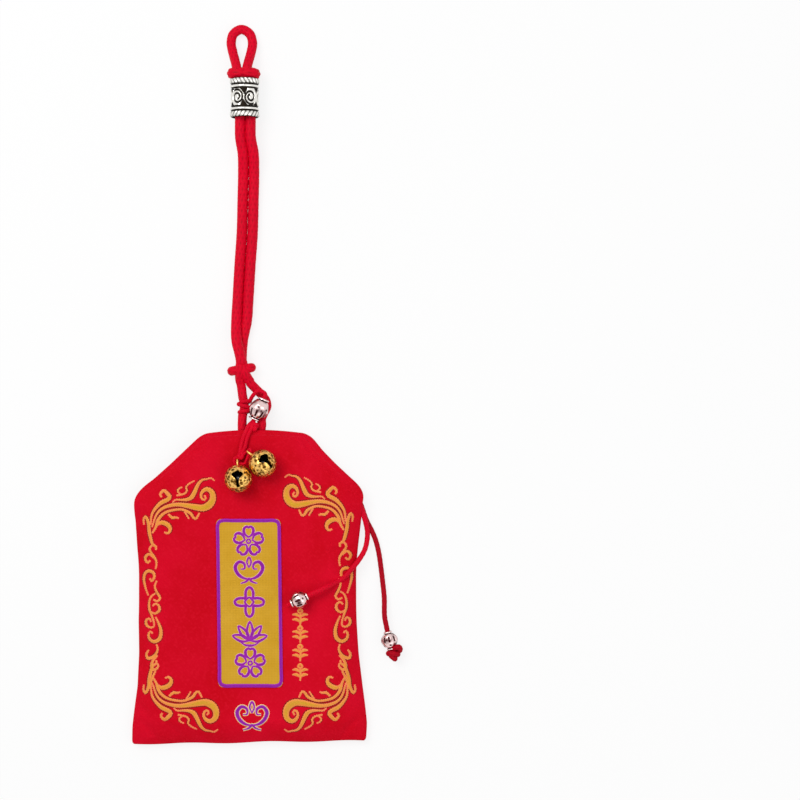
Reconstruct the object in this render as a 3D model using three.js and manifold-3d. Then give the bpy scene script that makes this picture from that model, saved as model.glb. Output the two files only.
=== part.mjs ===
// A cloth amulet pouch that lies on its back, with a drawstring, a braided strap and a charm of two bells.
// Millimetres. +X is to the right, +Y towards the hanging loop and +Z out of the surface it lies on.
// The origin is on that surface, under the middle of the pouch.

import * as THREE from 'three';
import { mergeVertices } from 'three/addons/utils/BufferGeometryUtils.js';
import Module from 'manifold-3d';

const wasm = await Module();
wasm.setup();

// Driving dimensions: gaps
const clearance = 0.3;
const tableGap = 0.2;
const casingSlack = 0.1;
const frontSlack = 0.15;
const stepInDiameters = 2.5;
const bendStepInDiameters = 0.9;

// Driving dimensions: pouch
const pouchWidth = 70;
const pouchHeight = 95;
const waistWidth = 64.6;
const waistDrop = 44.5;
const shoulderWidth = 68.6;
const shoulderDrop = 17.5;
const shoulderBlend = 4;
const topEdgeWidth = 24;
const bottomCornerRadius = 2;
const fabricThickness = 0.8;
const seamHeight = 2.0;
const seamEndDrop = 27;
const crownHeight = 6.0;
const sideSwell = 16;
const bottomSwell = 14;
const backRim = 5;
const lipClosing = 0.45;
const lipReach = 14;
const lipOpenWidth = 14;
const lipClosedWidth = 28;

// Driving dimensions: label and amulet card
const labelWidth = 20.4;
const labelHeight = 51.5;
const labelTopDrop = 26;
const labelThickness = 0.5;
const labelCornerRadius = 1.5;
const cardWidth = 54;
const cardHeight = 62;
const cardThickness = 0.6;
const cardBottomGap = 7.5;
const cardCornerRadius = 2;

// Driving dimensions: cords
const strapDiameter = 2.8;
const tailDiameter = 1.4;
const charmDiameter = 1.0;
const strapEndDepth = 6.3;
const strapLiftReach = 2.2;
const strapReach = 99.2;

// Driving dimensions: drawstring casing, as drops below the top edge
const casingDrop = 8.2;
const casingPitch = 2.4;
const sideExitDrop = 20.3;
const frontExitDrop = 22.8;
const casingLeftReach = 29;

// Driving directions on the table, in degrees from +X
const sideBeadDegrees = -78;
const frontBeadDegrees = 25;
const charmBeadDegrees = 65;
const barrelDegrees = 90;

// Driving dimensions: beads and knots
const beadRadius = 2.6;
const beadLength = 6;
const collarRadius = 2.1;
const collarWidth = 0.7;
const grooveRadius = 1.75;
const barrelLength = 12.3;
const barrelWall = 1.3;
const barrelRimWidth = 1.6;
const barrelWaistDip = 0.35;
const barrelSlideRoom = 6;
const sideKnotLength = 4.4;
const sideKnotRadius = 2.0;
const frontKnotRadius = 1.2;
const charmKnotRadius = 1.1;
const hitchWidth = 2.4;

// Driving dimensions: bells
const bellRadius = 4.1;
const bellWall = 0.5;
const bellSlit = 0.9;
const bellHoleDiameter = 3.0;
const bellEyeHole = 1.1;
const bellEyeWire = 0.3;
const bellEyeReach = 1.0;
const pelletRadius = 1.8;

// Finishes
function finish(color, roughness, metalness) {
  return new THREE.MeshStandardMaterial({ color, roughness, metalness });
}

const brocade = finish(0xd00a20, 0.75, 0);
const labelCloth = finish(0xd4a428, 0.55, 0);
const paper = finish(0xf3ead6, 0.85, 0);
const strapCord = finish(0xd80b2b, 0.7, 0);
const thinCord = finish(0xb01028, 0.7, 0);
const silver = finish(0xc4c6ca, 0.25, 1);
const gilt = finish(0xd9b75a, 0.35, 1);
const steel = finish(0x8c8f94, 0.4, 1);

// Levels and half sizes worked out from the sizes above
const topY = pouchHeight / 2;
const bottomY = -pouchHeight / 2;
const waistY = topY - waistDrop;
const shoulderY = topY - shoulderDrop;
const seamEndY = topY - seamEndDrop;
const mouthSlope = (shoulderWidth - topEdgeWidth) / 2 / shoulderDrop;
const crownInside = crownHeight - fabricThickness;
const seamInside = seamHeight + clearance / 2;
const backRise = seamHeight - clearance / 2 - fabricThickness;
const strapRadius = strapDiameter / 2;
const tailRadius = tailDiameter / 2;
const charmRadius = charmDiameter / 2;

const clamp = THREE.MathUtils.clamp;
const smoothstep = THREE.MathUtils.smoothstep;
const radians = THREE.MathUtils.degToRad;

// Outline of the pouch: half its width at each height
function halfWidth(y) {
  const low = y < waistY;
  const away = low ? (waistY - y) / (waistY - bottomY) : (y - waistY) / (shoulderY - waistY);
  const far = low ? pouchWidth : shoulderWidth;
  const side = (waistWidth + (far - waistWidth) * smoothstep(away, 0, 1)) / 2;
  const slant = topEdgeWidth / 2 + (topY - y) * mouthSlope;
  const mix = Math.max(shoulderBlend - Math.abs(side - slant), 0) / shoulderBlend;
  const width = Math.min(side, slant) - (mix * mix * shoulderBlend) / 4;
  const short = bottomCornerRadius - Math.min(y - bottomY, bottomCornerRadius);
  return width - bottomCornerRadius + Math.sqrt(Math.max(bottomCornerRadius ** 2 - short ** 2, 0));
}

// Share of the full swell at a distance from a sewn edge
const swell = (distance, reach) => 1 - (1 - clamp(distance / reach, 0, 1)) ** 2;

// Distance from the sewn part of the side seams
function fromSide(x, y) {
  const seamY = Math.min(y, seamEndY);
  return Math.hypot(Math.max(halfWidth(seamY) - Math.abs(x), 0), y - seamY);
}

// Distance from the open edge of the mouth, square to its slanted sides
function fromMouth(x, y) {
  const edgeY = topY - Math.max(Math.abs(x) - topEdgeWidth / 2, 0) / mouthSlope;
  return Math.max(edgeY - y, 0) * (mouthSlope / Math.hypot(1, mouthSlope));
}

// Inner surface of the front cloth: swollen in the middle, its lips drawn together beside the strap
function frontInside(x, y) {
  const body = swell(fromSide(x, y), sideSwell) * swell(y - bottomY, bottomSwell);
  const near = (1 - clamp(fromMouth(x, y) / lipReach, 0, 1)) ** 2;
  const drawn = smoothstep(Math.abs(x), lipOpenWidth / 2, lipClosedWidth / 2);
  return seamInside + (crownInside - seamInside) * body * (1 - lipClosing * near * drawn);
}

const frontOutside = (x, y) => frontInside(x, y) + fabricThickness;

// Outer surface of the back cloth: flat on the table, turned up at the sewn edges
function backOutside(x, y) {
  return backRise * (1 - swell(fromSide(x, y), backRim) * swell(y - bottomY, backRim));
}

const backInside = (x, y) => backOutside(x, y) + fabricThickness;

// Closed meshes with shared corners, and solids for joining and cutting
function bare(geometry) {
  geometry.deleteAttribute('normal');
  geometry.deleteAttribute('uv');
  return mergeVertices(geometry, 1e-4);
}

function solid(geometry) {
  const shared = bare(geometry);
  const vertProperties = new Float32Array(shared.attributes.position.array);
  const triVerts = new Uint32Array(shared.index.array);
  return new wasm.Manifold(new wasm.Mesh({ numProp: 3, vertProperties, triVerts }));
}

function geometryOf(body) {
  const mesh = body.getMesh();
  const geometry = new THREE.BufferGeometry();
  geometry.setAttribute('position', new THREE.BufferAttribute(new Float32Array(mesh.vertProperties), 3));
  geometry.setIndex(new THREE.BufferAttribute(new Uint32Array(mesh.triVerts), 1));
  return geometry;
}

const joined = (...pieces) => pieces.map(solid).reduce((sum, piece) => sum.add(piece));
const cut = (body, ...tools) => tools.map(solid).reduce((rest, tool) => rest.subtract(tool), body);

// One cloth panel: a slab whose rows and columns follow the outline, closer together near the edges
function clothPanel(lower, upper) {
  const columns = 14;
  const rows = 20;
  const columnSpread = 0.12;
  const rowSpread = 0.11;
  const geometry = bare(new THREE.BoxGeometry(2, 1, 1, columns, rows, 1));
  const position = geometry.attributes.position;
  for (let i = 0; i < position.count; i += 1) {
    const u = position.getX(i);
    const v = position.getY(i) + 0.5;
    const y = bottomY + pouchHeight * (v - rowSpread * Math.sin(2 * Math.PI * v));
    const x = halfWidth(y) * (u + columnSpread * Math.sin(Math.PI * u));
    position.setXYZ(i, x, y, position.getZ(i) > 0 ? upper(x, y) : lower(x, y));
  }
  return geometry;
}

// A flat plate with round corners, standing on z = 0
function roundedPlate(width, height, radius, thickness) {
  const x = width / 2;
  const y = height / 2;
  const shape = new THREE.Shape();
  shape.absarc(x - radius, y - radius, radius, 0, Math.PI / 2);
  shape.absarc(radius - x, y - radius, radius, Math.PI / 2, Math.PI);
  shape.absarc(radius - x, radius - y, radius, Math.PI, 1.5 * Math.PI);
  shape.absarc(x - radius, radius - y, radius, 1.5 * Math.PI, 2 * Math.PI);
  return new THREE.ExtrudeGeometry(shape, { depth: thickness, curveSegments: 3, bevelEnabled: false });
}

// A round cord along a route of points
function cord(points, diameter, step = stepInDiameters) {
  const path = new THREE.CatmullRomCurve3(points.map((point) => new THREE.Vector3(...point)));
  const section = new THREE.Shape().absarc(0, 0, diameter / 2, 0, 2 * Math.PI);
  const options = {
    steps: Math.ceil(path.getLength() / (step * diameter)),
    curveSegments: 4,
    extrudePath: path,
  };
  return new THREE.ExtrudeGeometry(section, options);
}

// The hole that a cord's end sits in, a clearance wider and deeper than the cord
function socket(points, diameter, step = stepInDiameters) {
  const last = new THREE.Vector3(...points.at(-1));
  const ahead = last.clone().sub(new THREE.Vector3(...points.at(-2))).setLength(clearance);
  return cord([...points, last.add(ahead).toArray()], diameter + 2 * clearance, step);
}

const ball = (radius, [x, y, z]) => new THREE.SphereGeometry(radius, 10, 8).translate(x, y, z);

function ellipsoid([rx, ry, rz], [x, y, z]) {
  return new THREE.SphereGeometry(1, 14, 9).scale(rx, ry, rz).translate(x, y, z);
}

// A cord whose first end is a ball, so that it can turn about that point
const turningCord = (points, diameter, step = stepInDiameters) =>
  geometryOf(joined(cord(points, diameter, step), ball(diameter / 2, points[0])));

// A point that is shifted from another one
const shifted = ([x, y, z], [dx, dy, dz]) => [x + dx, y + dy, z + dz];
const along = ([x, y, z], [ux, uy], distance) => [x + ux * distance, y + uy * distance, z];
const heading = (degrees) => [Math.cos(radians(degrees)), Math.sin(radians(degrees))];

// A turned piece whose profile of radius and height goes round its bore
function turned(profile, segments) {
  const points = [...profile, profile[0]].map(([radius, height]) => new THREE.Vector2(radius, height));
  return new THREE.LatheGeometry(points, segments);
}

// The whole object
const pouch = new THREE.Group();

function addPiece(name, geometry, material) {
  const mesh = new THREE.Mesh(bare(geometry), material);
  mesh.name = name;
  pouch.add(mesh);
  return mesh;
}

// Turns a piece made along +Y to a heading in the plane of the table
function layAlong(mesh, point, degrees) {
  mesh.position.set(...point);
  mesh.rotation.z = radians(degrees - 90);
}

// Pouch: back cloth, front cloth, label and the amulet card on the back cloth
addPiece('back_panel', clothPanel(backOutside, backInside), brocade);
addPiece('front_panel', clothPanel(frontInside, frontOutside), brocade);

const labelY = topY - labelTopDrop - labelHeight / 2;
const labelPlate = roundedPlate(labelWidth, labelHeight, labelCornerRadius, labelThickness);
addPiece('front_label', labelPlate, labelCloth).position.set(0, labelY, crownHeight + clearance);

const cardZ = fabricThickness + clearance;
const cardPlate = roundedPlate(cardWidth, cardHeight, cardCornerRadius, cardThickness);
addPiece('amulet_card', cardPlate, paper).position.set(0, bottomY + cardBottomGap + cardHeight / 2, cardZ);

// Drawstring: doubled under the front cloth, both ends leaving past the right side seam
const sideExitY = topY - sideExitDrop;
const frontExitY = topY - frontExitDrop;
const casingZ = (x, y) => frontInside(x, y) - clearance - tailRadius - casingSlack;

function casingPoint(x, middleY, exitY) {
  const y = middleY - (middleY - exitY) * (x / halfWidth(exitY)) ** 2;
  return [x, y, casingZ(x, y)];
}

function casingRun(middleY, exitY) {
  const count = 10;
  const right = halfWidth(exitY);
  const points = [];
  for (let i = 0; i <= count; i += 1) {
    points.push(casingPoint(right - ((right + casingLeftReach) * i) / count, middleY, exitY));
  }
  return points;
}

const outerRun = casingRun(topY - casingDrop, sideExitY);
const innerRun = casingRun(topY - casingDrop - casingPitch, frontExitY);
const turnY = (outerRun.at(-1)[1] + innerRun.at(-1)[1]) / 2;
const turnX = -casingLeftReach - casingPitch / 2;
const casingTurn = [turnX, turnY, casingZ(turnX, turnY)];
addPiece('drawstring_cased', cord([...outerRun, casingTurn, ...innerRun.reverse()], tailDiameter), thinCord);

// A silver bead: a ball body between two grooved collars, bored for its cord
function collaredBead(cordDiameter) {
  const bore = cordDiameter / 2 + clearance;
  const end = beadLength / 2;
  const neck = end - collarWidth;
  const groove = neck - collarWidth / 2;
  const reach = Math.asin(groove / Math.hypot(groove, grooveRadius));
  const profile = [[bore, -end], [collarRadius, -end], [collarRadius, -neck], [grooveRadius, -groove]];
  const bulges = 5;
  for (let i = 1; i < bulges; i += 1) {
    const angle = reach * ((2 * i) / bulges - 1);
    profile.push([beadRadius * Math.cos(angle), beadRadius * Math.sin(angle)]);
  }
  profile.push([grooveRadius, groove], [collarRadius, neck], [collarRadius, end], [bore, end]);
  return turned(profile, 14);
}

// Side tail: from its exit down to the table, then straight and level through its bead
const tableZ = tailRadius + tableGap;
const sideBeadZ = beadRadius + tableGap;
const exitGap = tailRadius + 2 * clearance;
const exitPoint = (y) => [halfWidth(y) + exitGap, y, casingZ(halfWidth(y), y)];
const sideExit = exitPoint(sideExitY);
const sideHeading = heading(sideBeadDegrees);
const sideBead = [sideExit[0] + 6.6, sideExit[1] - 42.2, sideBeadZ];
const sideTail = [
  sideExit,
  shifted(sideExit, [1.7, -2.4, -0.4]),
  [sideExit[0] + 2.3, sideExit[1] - 6.3, tableZ],
  [sideExit[0] + 3.0, sideExit[1] - 12.4, tableZ],
  [sideExit[0] + 4.3, sideExit[1] - 21.4, tableZ],
  along([sideBead[0], sideBead[1], tableZ + 0.3], sideHeading, -15),
  along([sideBead[0], sideBead[1], sideBeadZ - 0.4], sideHeading, -10.5),
  along(sideBead, sideHeading, -8),
  along(sideBead, sideHeading, -4),
  sideBead,
  along(sideBead, sideHeading, beadLength / 2),
];
addPiece('drawstring_side_tail', turningCord(sideTail, tailDiameter), thinCord);
layAlong(addPiece('side_tail_bead', collaredBead(tailDiameter), silver), sideBead, sideBeadDegrees);
const sideKnotAt = along(sideBead, sideHeading, beadLength / 2 + clearance + sideKnotLength / 2);
const sideKnot = ellipsoid([sideKnotRadius, sideKnotLength / 2, sideKnotRadius], [0, 0, 0]);
layAlong(addPiece('side_tail_knot', sideKnot, thinCord), sideKnotAt, sideBeadDegrees);

// Front tail: out past the edge, back over the front cloth and level through its bead beside the label
const frontTailZ = (x, y) => frontOutside(x, y) + clearance + tailRadius + frontSlack;
const onFront = ([x, y]) => [x, y, frontTailZ(x, y)];
const frontExit = shifted(exitPoint(frontExitY), [-clearance, 0, 0]);
const frontHeading = heading(frontBeadDegrees);
const frontBead = [labelWidth / 2 + 4.6, -3, crownHeight + clearance + beadRadius];
const frontTail = [
  frontExit,
  shifted(frontExit, [0.1, -3.2, 0]),
  shifted(frontExit, [0.2, -7.0, 0.1]),
  shifted(frontExit, [0.1, -11.2, 0.5]),
  shifted(frontExit, [-0.9, -14.4, 1.4]),
  onFront([frontExit[0] - 3.2, frontExit[1] - 17.4]),
  onFront([frontExit[0] - 6.2, frontExit[1] - 20.3]),
  onFront(along(frontBead, frontHeading, 12.5)),
  along(shifted(frontBead, [0, 0, -0.5]), frontHeading, 9),
  along(frontBead, frontHeading, 7),
  along(frontBead, frontHeading, 3),
  frontBead,
  along(frontBead, frontHeading, -beadLength / 2),
];
addPiece('drawstring_front_tail', cord(frontTail, tailDiameter), thinCord);
layAlong(addPiece('front_tail_bead', collaredBead(tailDiameter), silver), frontBead, frontBeadDegrees);
const frontKnotAt = along(frontBead, frontHeading, -beadLength / 2 - clearance - frontKnotRadius);
addPiece('front_tail_knot', ball(frontKnotRadius, frontKnotAt), thinCord);

// Strap: its ends under the front lip, above the way of the card
const strapZ = crownInside - clearance - strapRadius;
const pivotY = topY + strapLiftReach;
const endY = pivotY - strapRadius - clearance;
const leftX = -2.9;
const rightX = 3.9;

function strapEnd(x) {
  const startY = topY - strapEndDepth;
  return cord([[x, startY, strapZ], [x, (startY + endY) / 2, strapZ], [x, endY, strapZ]], strapDiameter);
}

addPiece('strap_left_end', strapEnd(leftX), strapCord);
addPiece('strap_right_end', strapEnd(rightX), strapCord);

// Lower strands, from the mouth to the lower knot
const leftPivot = [leftX, pivotY, strapZ];
const rightPivot = [rightX, pivotY, strapZ];
const hitchAt = shifted(leftPivot, [-0.1, 8.9, -0.7]);
const leftLower = [
  leftPivot,
  shifted(leftPivot, [0, 2.8, -0.3]),
  shifted(leftPivot, [-0.05, 6.3, -0.55]),
  hitchAt,
  shifted(leftPivot, [-0.5, 11.6, -1.1]),
  shifted(leftPivot, [-1.0, 14.1, -1.2]),
];
const rightLower = [
  rightPivot,
  shifted(rightPivot, [1.0, 2.8, -0.6]),
  shifted(rightPivot, [1.85, 5.6, -1.3]),
  shifted(rightPivot, [1.4, 8.1, -1.7]),
  shifted(rightPivot, [-0.3, 10.5, -1.75]),
  shifted(rightPivot, [-2.5, 12.5, -1.5]),
  shifted(rightPivot, [-4.3, 14.3, -1.2]),
];
addPiece('strap_left_lower', turningCord(leftLower, strapDiameter, bendStepInDiameters), strapCord);
addPiece('strap_right_lower', turningCord(rightLower, strapDiameter, bendStepInDiameters), strapCord);

// Lower knot: a body with two lobes, open where the strands enter and where the upper strands turn
const knotAt = [leftX + 0.2, pivotY + 15.7, 2.5];
const swingAt = [leftX - 0.3, pivotY + 20.2];
const swingPocket = new THREE.CylinderGeometry(strapRadius + clearance, strapRadius + clearance, 20, 16);
swingPocket.rotateX(Math.PI / 2).translate(...swingAt, 0);
const knotForm = joined(
  ellipsoid([2.3, 3.2, 2.2], knotAt),
  ellipsoid([2.3, 1.5, 1.7], shifted(knotAt, [-2.5, 0.8, 0])),
  ellipsoid([2.0, 1.4, 1.7], shifted(knotAt, [2.2, 1.8, 0])),
);
const lowerKnot = cut(
  knotForm,
  socket(leftLower, strapDiameter, bendStepInDiameters),
  socket(rightLower, strapDiameter, bendStepInDiameters),
  swingPocket,
);
addPiece('lower_knot', geometryOf(lowerKnot), strapCord);

// Upper strands: one over the other where they turn, then side by side, and level through the barrel bead
const groundZ = strapRadius + tableGap;
const strandPitch = strapDiameter + clearance;
const boreRadius = strandPitch / 2 + strapRadius + clearance;
const barrelRadius = boreRadius + barrelWall;
const barrelZ = barrelRadius + tableGap;
const barrelAt = [leftX + 0.9, pivotY + strapReach, barrelZ];
const barrelLow = barrelAt[1] - barrelLength / 2 - barrelSlideRoom;
const strandEndY = barrelAt[1] + barrelLength / 2 + 0.9;

function upperStrand(side, startZ, route) {
  const x = barrelAt[0] + (side * strandPitch) / 2;
  return [
    [...swingAt, startZ],
    ...route.map(([dx, dy, z]) => [leftX + dx, pivotY + dy, z]),
    [x, barrelLow, barrelZ],
    [x, barrelAt[1] - barrelLength / 2, barrelZ],
    [x, barrelAt[1], barrelZ],
    [x, strandEndY, barrelZ],
  ];
}

const leftStrand = upperStrand(-1, groundZ + strandPitch, [
  [-1.7, 25.8, groundZ + 2.5],
  [-1.65, 31.8, groundZ + 0.8],
  [-1.2, 38, groundZ],
  [-0.8, 48.5, groundZ],
  [-0.35, 59, groundZ],
  [0.3, 68.2, groundZ],
  [0, 77, groundZ + 0.5],
  [-0.4, 82.5, groundZ + 2.2],
]);
const rightStrand = upperStrand(1, groundZ, [
  [0.3, 25.8, groundZ],
  [1.5, 31.8, groundZ],
  [2.0, 38, groundZ],
  [3.0, 48.5, groundZ],
  [3.3, 59, groundZ],
  [3.5, 68.2, groundZ],
  [3.2, 77, groundZ + 0.5],
  [2.8, 82.5, groundZ + 2.2],
]);
addPiece('strap_left_strand', turningCord(leftStrand, strapDiameter), strapCord);
addPiece('strap_right_strand', turningCord(rightStrand, strapDiameter), strapCord);

// Barrel bead: raised rims at both ends and a slightly waisted middle
const rimY = barrelLength / 2;
const bandY = rimY - barrelRimWidth;
const barrelProfile = [
  [boreRadius, -rimY],
  [barrelRadius - 0.3, -rimY],
  [barrelRadius, -rimY + 0.4],
  [barrelRadius, -bandY],
  [barrelRadius - 0.6, -bandY + 0.5],
  [barrelRadius - 0.2, -bandY + 1.2],
  [barrelRadius - barrelWaistDip, 0],
  [barrelRadius - 0.2, bandY - 1.2],
  [barrelRadius - 0.6, bandY - 0.5],
  [barrelRadius, bandY],
  [barrelRadius, rimY - 0.4],
  [barrelRadius - 0.3, rimY],
  [boreRadius, rimY],
];
layAlong(addPiece('barrel_bead', turned(barrelProfile, 20), silver), barrelAt, barrelDegrees);

// Hanging loop, from the top knot down to the table and back, and the top knot round all four cord ends
const topKnotAt = [barrelAt[0] - 0.2, barrelAt[1] + rimY + clearance + 2.1, barrelZ];
const loopX = barrelAt[0] - 0.9;
const loopTopY = topKnotAt[1] + 12.4;
const loopSide = (side) => [
  [loopX + side * 1.6, topKnotAt[1] + 1.0, barrelZ - 0.2],
  [loopX + side * 2.0, topKnotAt[1] + 3.1, barrelZ - 0.9],
  [loopX + side * 2.9, topKnotAt[1] + 6.1, groundZ + 1.0],
  [loopX + side * 3.3, topKnotAt[1] + 9.1, groundZ + 0.2],
  [loopX + side * 2.4, topKnotAt[1] + 11.5, groundZ],
];
const loopRoute = [...loopSide(-1), [loopX, loopTopY, groundZ], ...loopSide(1).reverse()];
addPiece('hanging_loop', cord(loopRoute, strapDiameter, bendStepInDiameters), strapCord);
const topKnotForm = joined(
  ellipsoid([2.6, 2.0, 2.3], shifted(topKnotAt, [-2.4, 0, 0])),
  ellipsoid([2.6, 2.0, 2.3], shifted(topKnotAt, [2.4, 0, 0])),
  ellipsoid([2.6, 1.9, 2.4], topKnotAt),
);
const topKnot = cut(
  topKnotForm,
  socket(leftStrand, strapDiameter),
  socket(rightStrand, strapDiameter),
  socket(loopRoute, strapDiameter, bendStepInDiameters),
  socket([...loopRoute].reverse(), strapDiameter, bendStepInDiameters),
);
addPiece('top_knot', geometryOf(topKnot), strapCord);

// Charm cord above the mouth: wraps round the left strand, then through its silver bead
const wrapInner = strapRadius + clearance;
const wrapOuter = wrapInner + charmDiameter * 0.8;
const wrapY = hitchWidth / 2;
const wraps = turned([[wrapInner, -wrapY], [wrapOuter, -wrapY], [wrapOuter, wrapY], [wrapInner, wrapY]], 16);
const hitch = addPiece('charm_hitch', wraps, thinCord);
hitch.position.set(...hitchAt);
hitch.rotation.set(radians(-7), 0, radians(6));

const charmHeading = heading(charmBeadDegrees);
const charmBead = [leftX + 4.87, pivotY + 5.1, strapZ + 1.7];
const upperCharm = [
  [hitchAt[0] + wrapOuter + charmDiameter * 0.6, hitchAt[1] + 0.3, hitchAt[2] + 1.3],
  shifted(hitchAt, [4.4, 1.3, 1.9]),
  along(shifted(charmBead, [-0.3, 0, -0.1]), charmHeading, 4.9),
  along(charmBead, charmHeading, beadLength / 2 + 0.6),
  charmBead,
  along(charmBead, charmHeading, -beadLength / 2 - 0.5),
];
addPiece('charm_cord_upper', cord(upperCharm, charmDiameter, bendStepInDiameters), thinCord);
layAlong(addPiece('charm_bead', collaredBead(charmDiameter), silver), charmBead, charmBeadDegrees);

// Bells: where they lie on the front cloth, how their eyes point, tilt and roll
const bellZ = crownHeight + clearance + bellRadius;
const eyeDistance = bellRadius + bellEyeReach;
const bells = [
  { name: 'left_bell', x: -4.03, drop: 14, eyeHeading: 94, tilt: 24.5, roll: 0 },
  { name: 'right_bell', x: 3.48, drop: 9.7, eyeHeading: 142, tilt: 14.5, roll: 24 },
];

// Turns a piece with its eye along +Y and its keyhole along +Z to the way a bell lies
function bellTurn(bell, roll) {
  const turn = new THREE.Euler(radians(-bell.tilt), radians(roll), radians(bell.eyeHeading - 90), 'ZXY');
  return new THREE.Quaternion().setFromEuler(turn);
}

function bellShell() {
  const inside = new THREE.SphereGeometry(bellRadius - bellWall, 16, 11);
  const hole = new THREE.CylinderGeometry(bellHoleDiameter / 2, bellHoleDiameter / 2, 4 * bellRadius, 12);
  const slit = new THREE.BoxGeometry(bellSlit, 2 * bellRadius, 4 * bellRadius);
  hole.rotateX(Math.PI / 2);
  slit.translate(0, -bellRadius, 0);
  return geometryOf(cut(solid(new THREE.SphereGeometry(bellRadius, 16, 11)), inside, hole, slit));
}

function bellEye() {
  const ring = new THREE.TorusGeometry(bellEyeHole + bellEyeWire, bellEyeWire, 8, 16);
  ring.rotateY(Math.PI / 2).translate(0, eyeDistance, 0);
  return geometryOf(cut(solid(ring), new THREE.SphereGeometry(bellRadius + clearance, 16, 11)));
}

const eyes = bells.map((bell) => {
  const centre = new THREE.Vector3(bell.x, topY - bell.drop, bellZ);
  const shell = addPiece(`${bell.name}_shell`, bellShell(), gilt);
  shell.position.copy(centre);
  shell.quaternion.copy(bellTurn(bell, bell.roll));
  const eye = addPiece(`${bell.name}_loop`, bellEye(), gilt);
  eye.position.copy(centre);
  eye.quaternion.copy(bellTurn(bell, 0));
  const pelletDrop = bellRadius - bellWall - clearance - pelletRadius;
  addPiece(`${bell.name}_pellet`, ball(pelletRadius, [centre.x, centre.y, bellZ - pelletDrop]), steel);
  return new THREE.Vector3(0, eyeDistance, 0).applyQuaternion(eye.quaternion).add(centre).toArray();
});

// Charm cord on the front: over the lip to a knot, and a small loop from it through both bells' eyes
const [leftEye, rightEye] = eyes;
const onLip = crownHeight + clearance + charmRadius;
const charmKnotAt = [leftX + 0.1, topY - 5.5, crownHeight + clearance + charmKnotRadius];
const frontCharm = [
  [leftX + 0.9, topY, onLip],
  [leftX + 0.5, topY - 1.6, onLip],
  [leftX + 0.2, topY - 3, onLip + 0.2],
  shifted(charmKnotAt, [0, charmKnotRadius + 2 * clearance, 0.1]),
];
addPiece('charm_cord_front', cord(frontCharm, charmDiameter), thinCord);
addPiece('charm_knot', ball(charmKnotRadius, charmKnotAt), thinCord);

const rightWay = heading(bells[1].eyeHeading - 90);
const leftWay = heading(bells[0].eyeHeading - 90);
const charmLoop = [
  shifted(charmKnotAt, [charmKnotRadius + 2 * clearance, 0.3, 0.4]),
  along(shifted(rightEye, [-0.5, 0.4, -0.3]), rightWay, 1.5),
  along(rightEye, rightWay, 0.8),
  rightEye,
  along(rightEye, rightWay, -0.9),
  shifted(leftEye, [2.0, 0.1, 0.2]),
  along(leftEye, leftWay, 0.8),
  leftEye,
  along(leftEye, leftWay, -0.8),
  shifted(leftEye, [-1.0, 1.6, -0.1]),
  shifted(charmKnotAt, [-charmKnotRadius - 2 * clearance, -0.2, 0.4]),
];
addPiece('charm_loop', cord(charmLoop, charmDiameter, bendStepInDiameters), thinCord);

export default pouch;
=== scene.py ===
"""Dresses a cloth amulet pouch with its drawstring, braided strap, beads, bells and woven ornament.

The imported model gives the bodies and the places. Lengths here are millimetres until a mesh is made.
"""

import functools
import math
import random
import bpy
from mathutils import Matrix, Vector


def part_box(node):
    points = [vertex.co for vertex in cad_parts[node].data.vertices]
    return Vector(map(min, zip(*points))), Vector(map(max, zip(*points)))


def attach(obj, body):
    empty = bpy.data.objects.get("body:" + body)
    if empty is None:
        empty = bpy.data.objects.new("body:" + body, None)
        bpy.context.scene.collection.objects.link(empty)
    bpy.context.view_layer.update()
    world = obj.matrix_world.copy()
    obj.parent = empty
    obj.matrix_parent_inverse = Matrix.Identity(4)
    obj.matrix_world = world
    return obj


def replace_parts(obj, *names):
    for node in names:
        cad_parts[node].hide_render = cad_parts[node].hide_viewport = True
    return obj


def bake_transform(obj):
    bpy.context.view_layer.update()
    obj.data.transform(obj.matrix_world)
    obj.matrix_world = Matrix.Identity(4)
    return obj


bl_info = {
    "name": "Amulet Pouch",
    "version": (1, 0, 0),
    "blender": (4, 5, 0),
    "location": "3D View > Sidebar > Pouch",
    "description": "Dresses a cloth amulet pouch with its cords, beads, bells and woven ornament",
    "category": "Object",
}

import bmesh
import bpy
import numpy as np
from bpy.props import FloatProperty, FloatVectorProperty, PointerProperty
from mathutils import Matrix, Vector
from mathutils.kdtree import KDTree

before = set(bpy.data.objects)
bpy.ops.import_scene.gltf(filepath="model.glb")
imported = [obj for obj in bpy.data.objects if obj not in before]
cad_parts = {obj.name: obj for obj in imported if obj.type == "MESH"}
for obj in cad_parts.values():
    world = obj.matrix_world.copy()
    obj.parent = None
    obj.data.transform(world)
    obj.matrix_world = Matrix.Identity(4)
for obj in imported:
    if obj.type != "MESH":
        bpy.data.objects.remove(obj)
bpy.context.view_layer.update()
MM = 0.001
SEED = 7


def box_mm(node):
    """Lowest and highest corner of a CAD node, in millimetres."""
    low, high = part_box(node)
    return np.array(low) / MM, np.array(high) / MM


def middle_mm(node):
    """Middle of a CAD node's box, in millimetres."""
    low, high = box_mm(node)
    return (low + high) / 2


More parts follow.
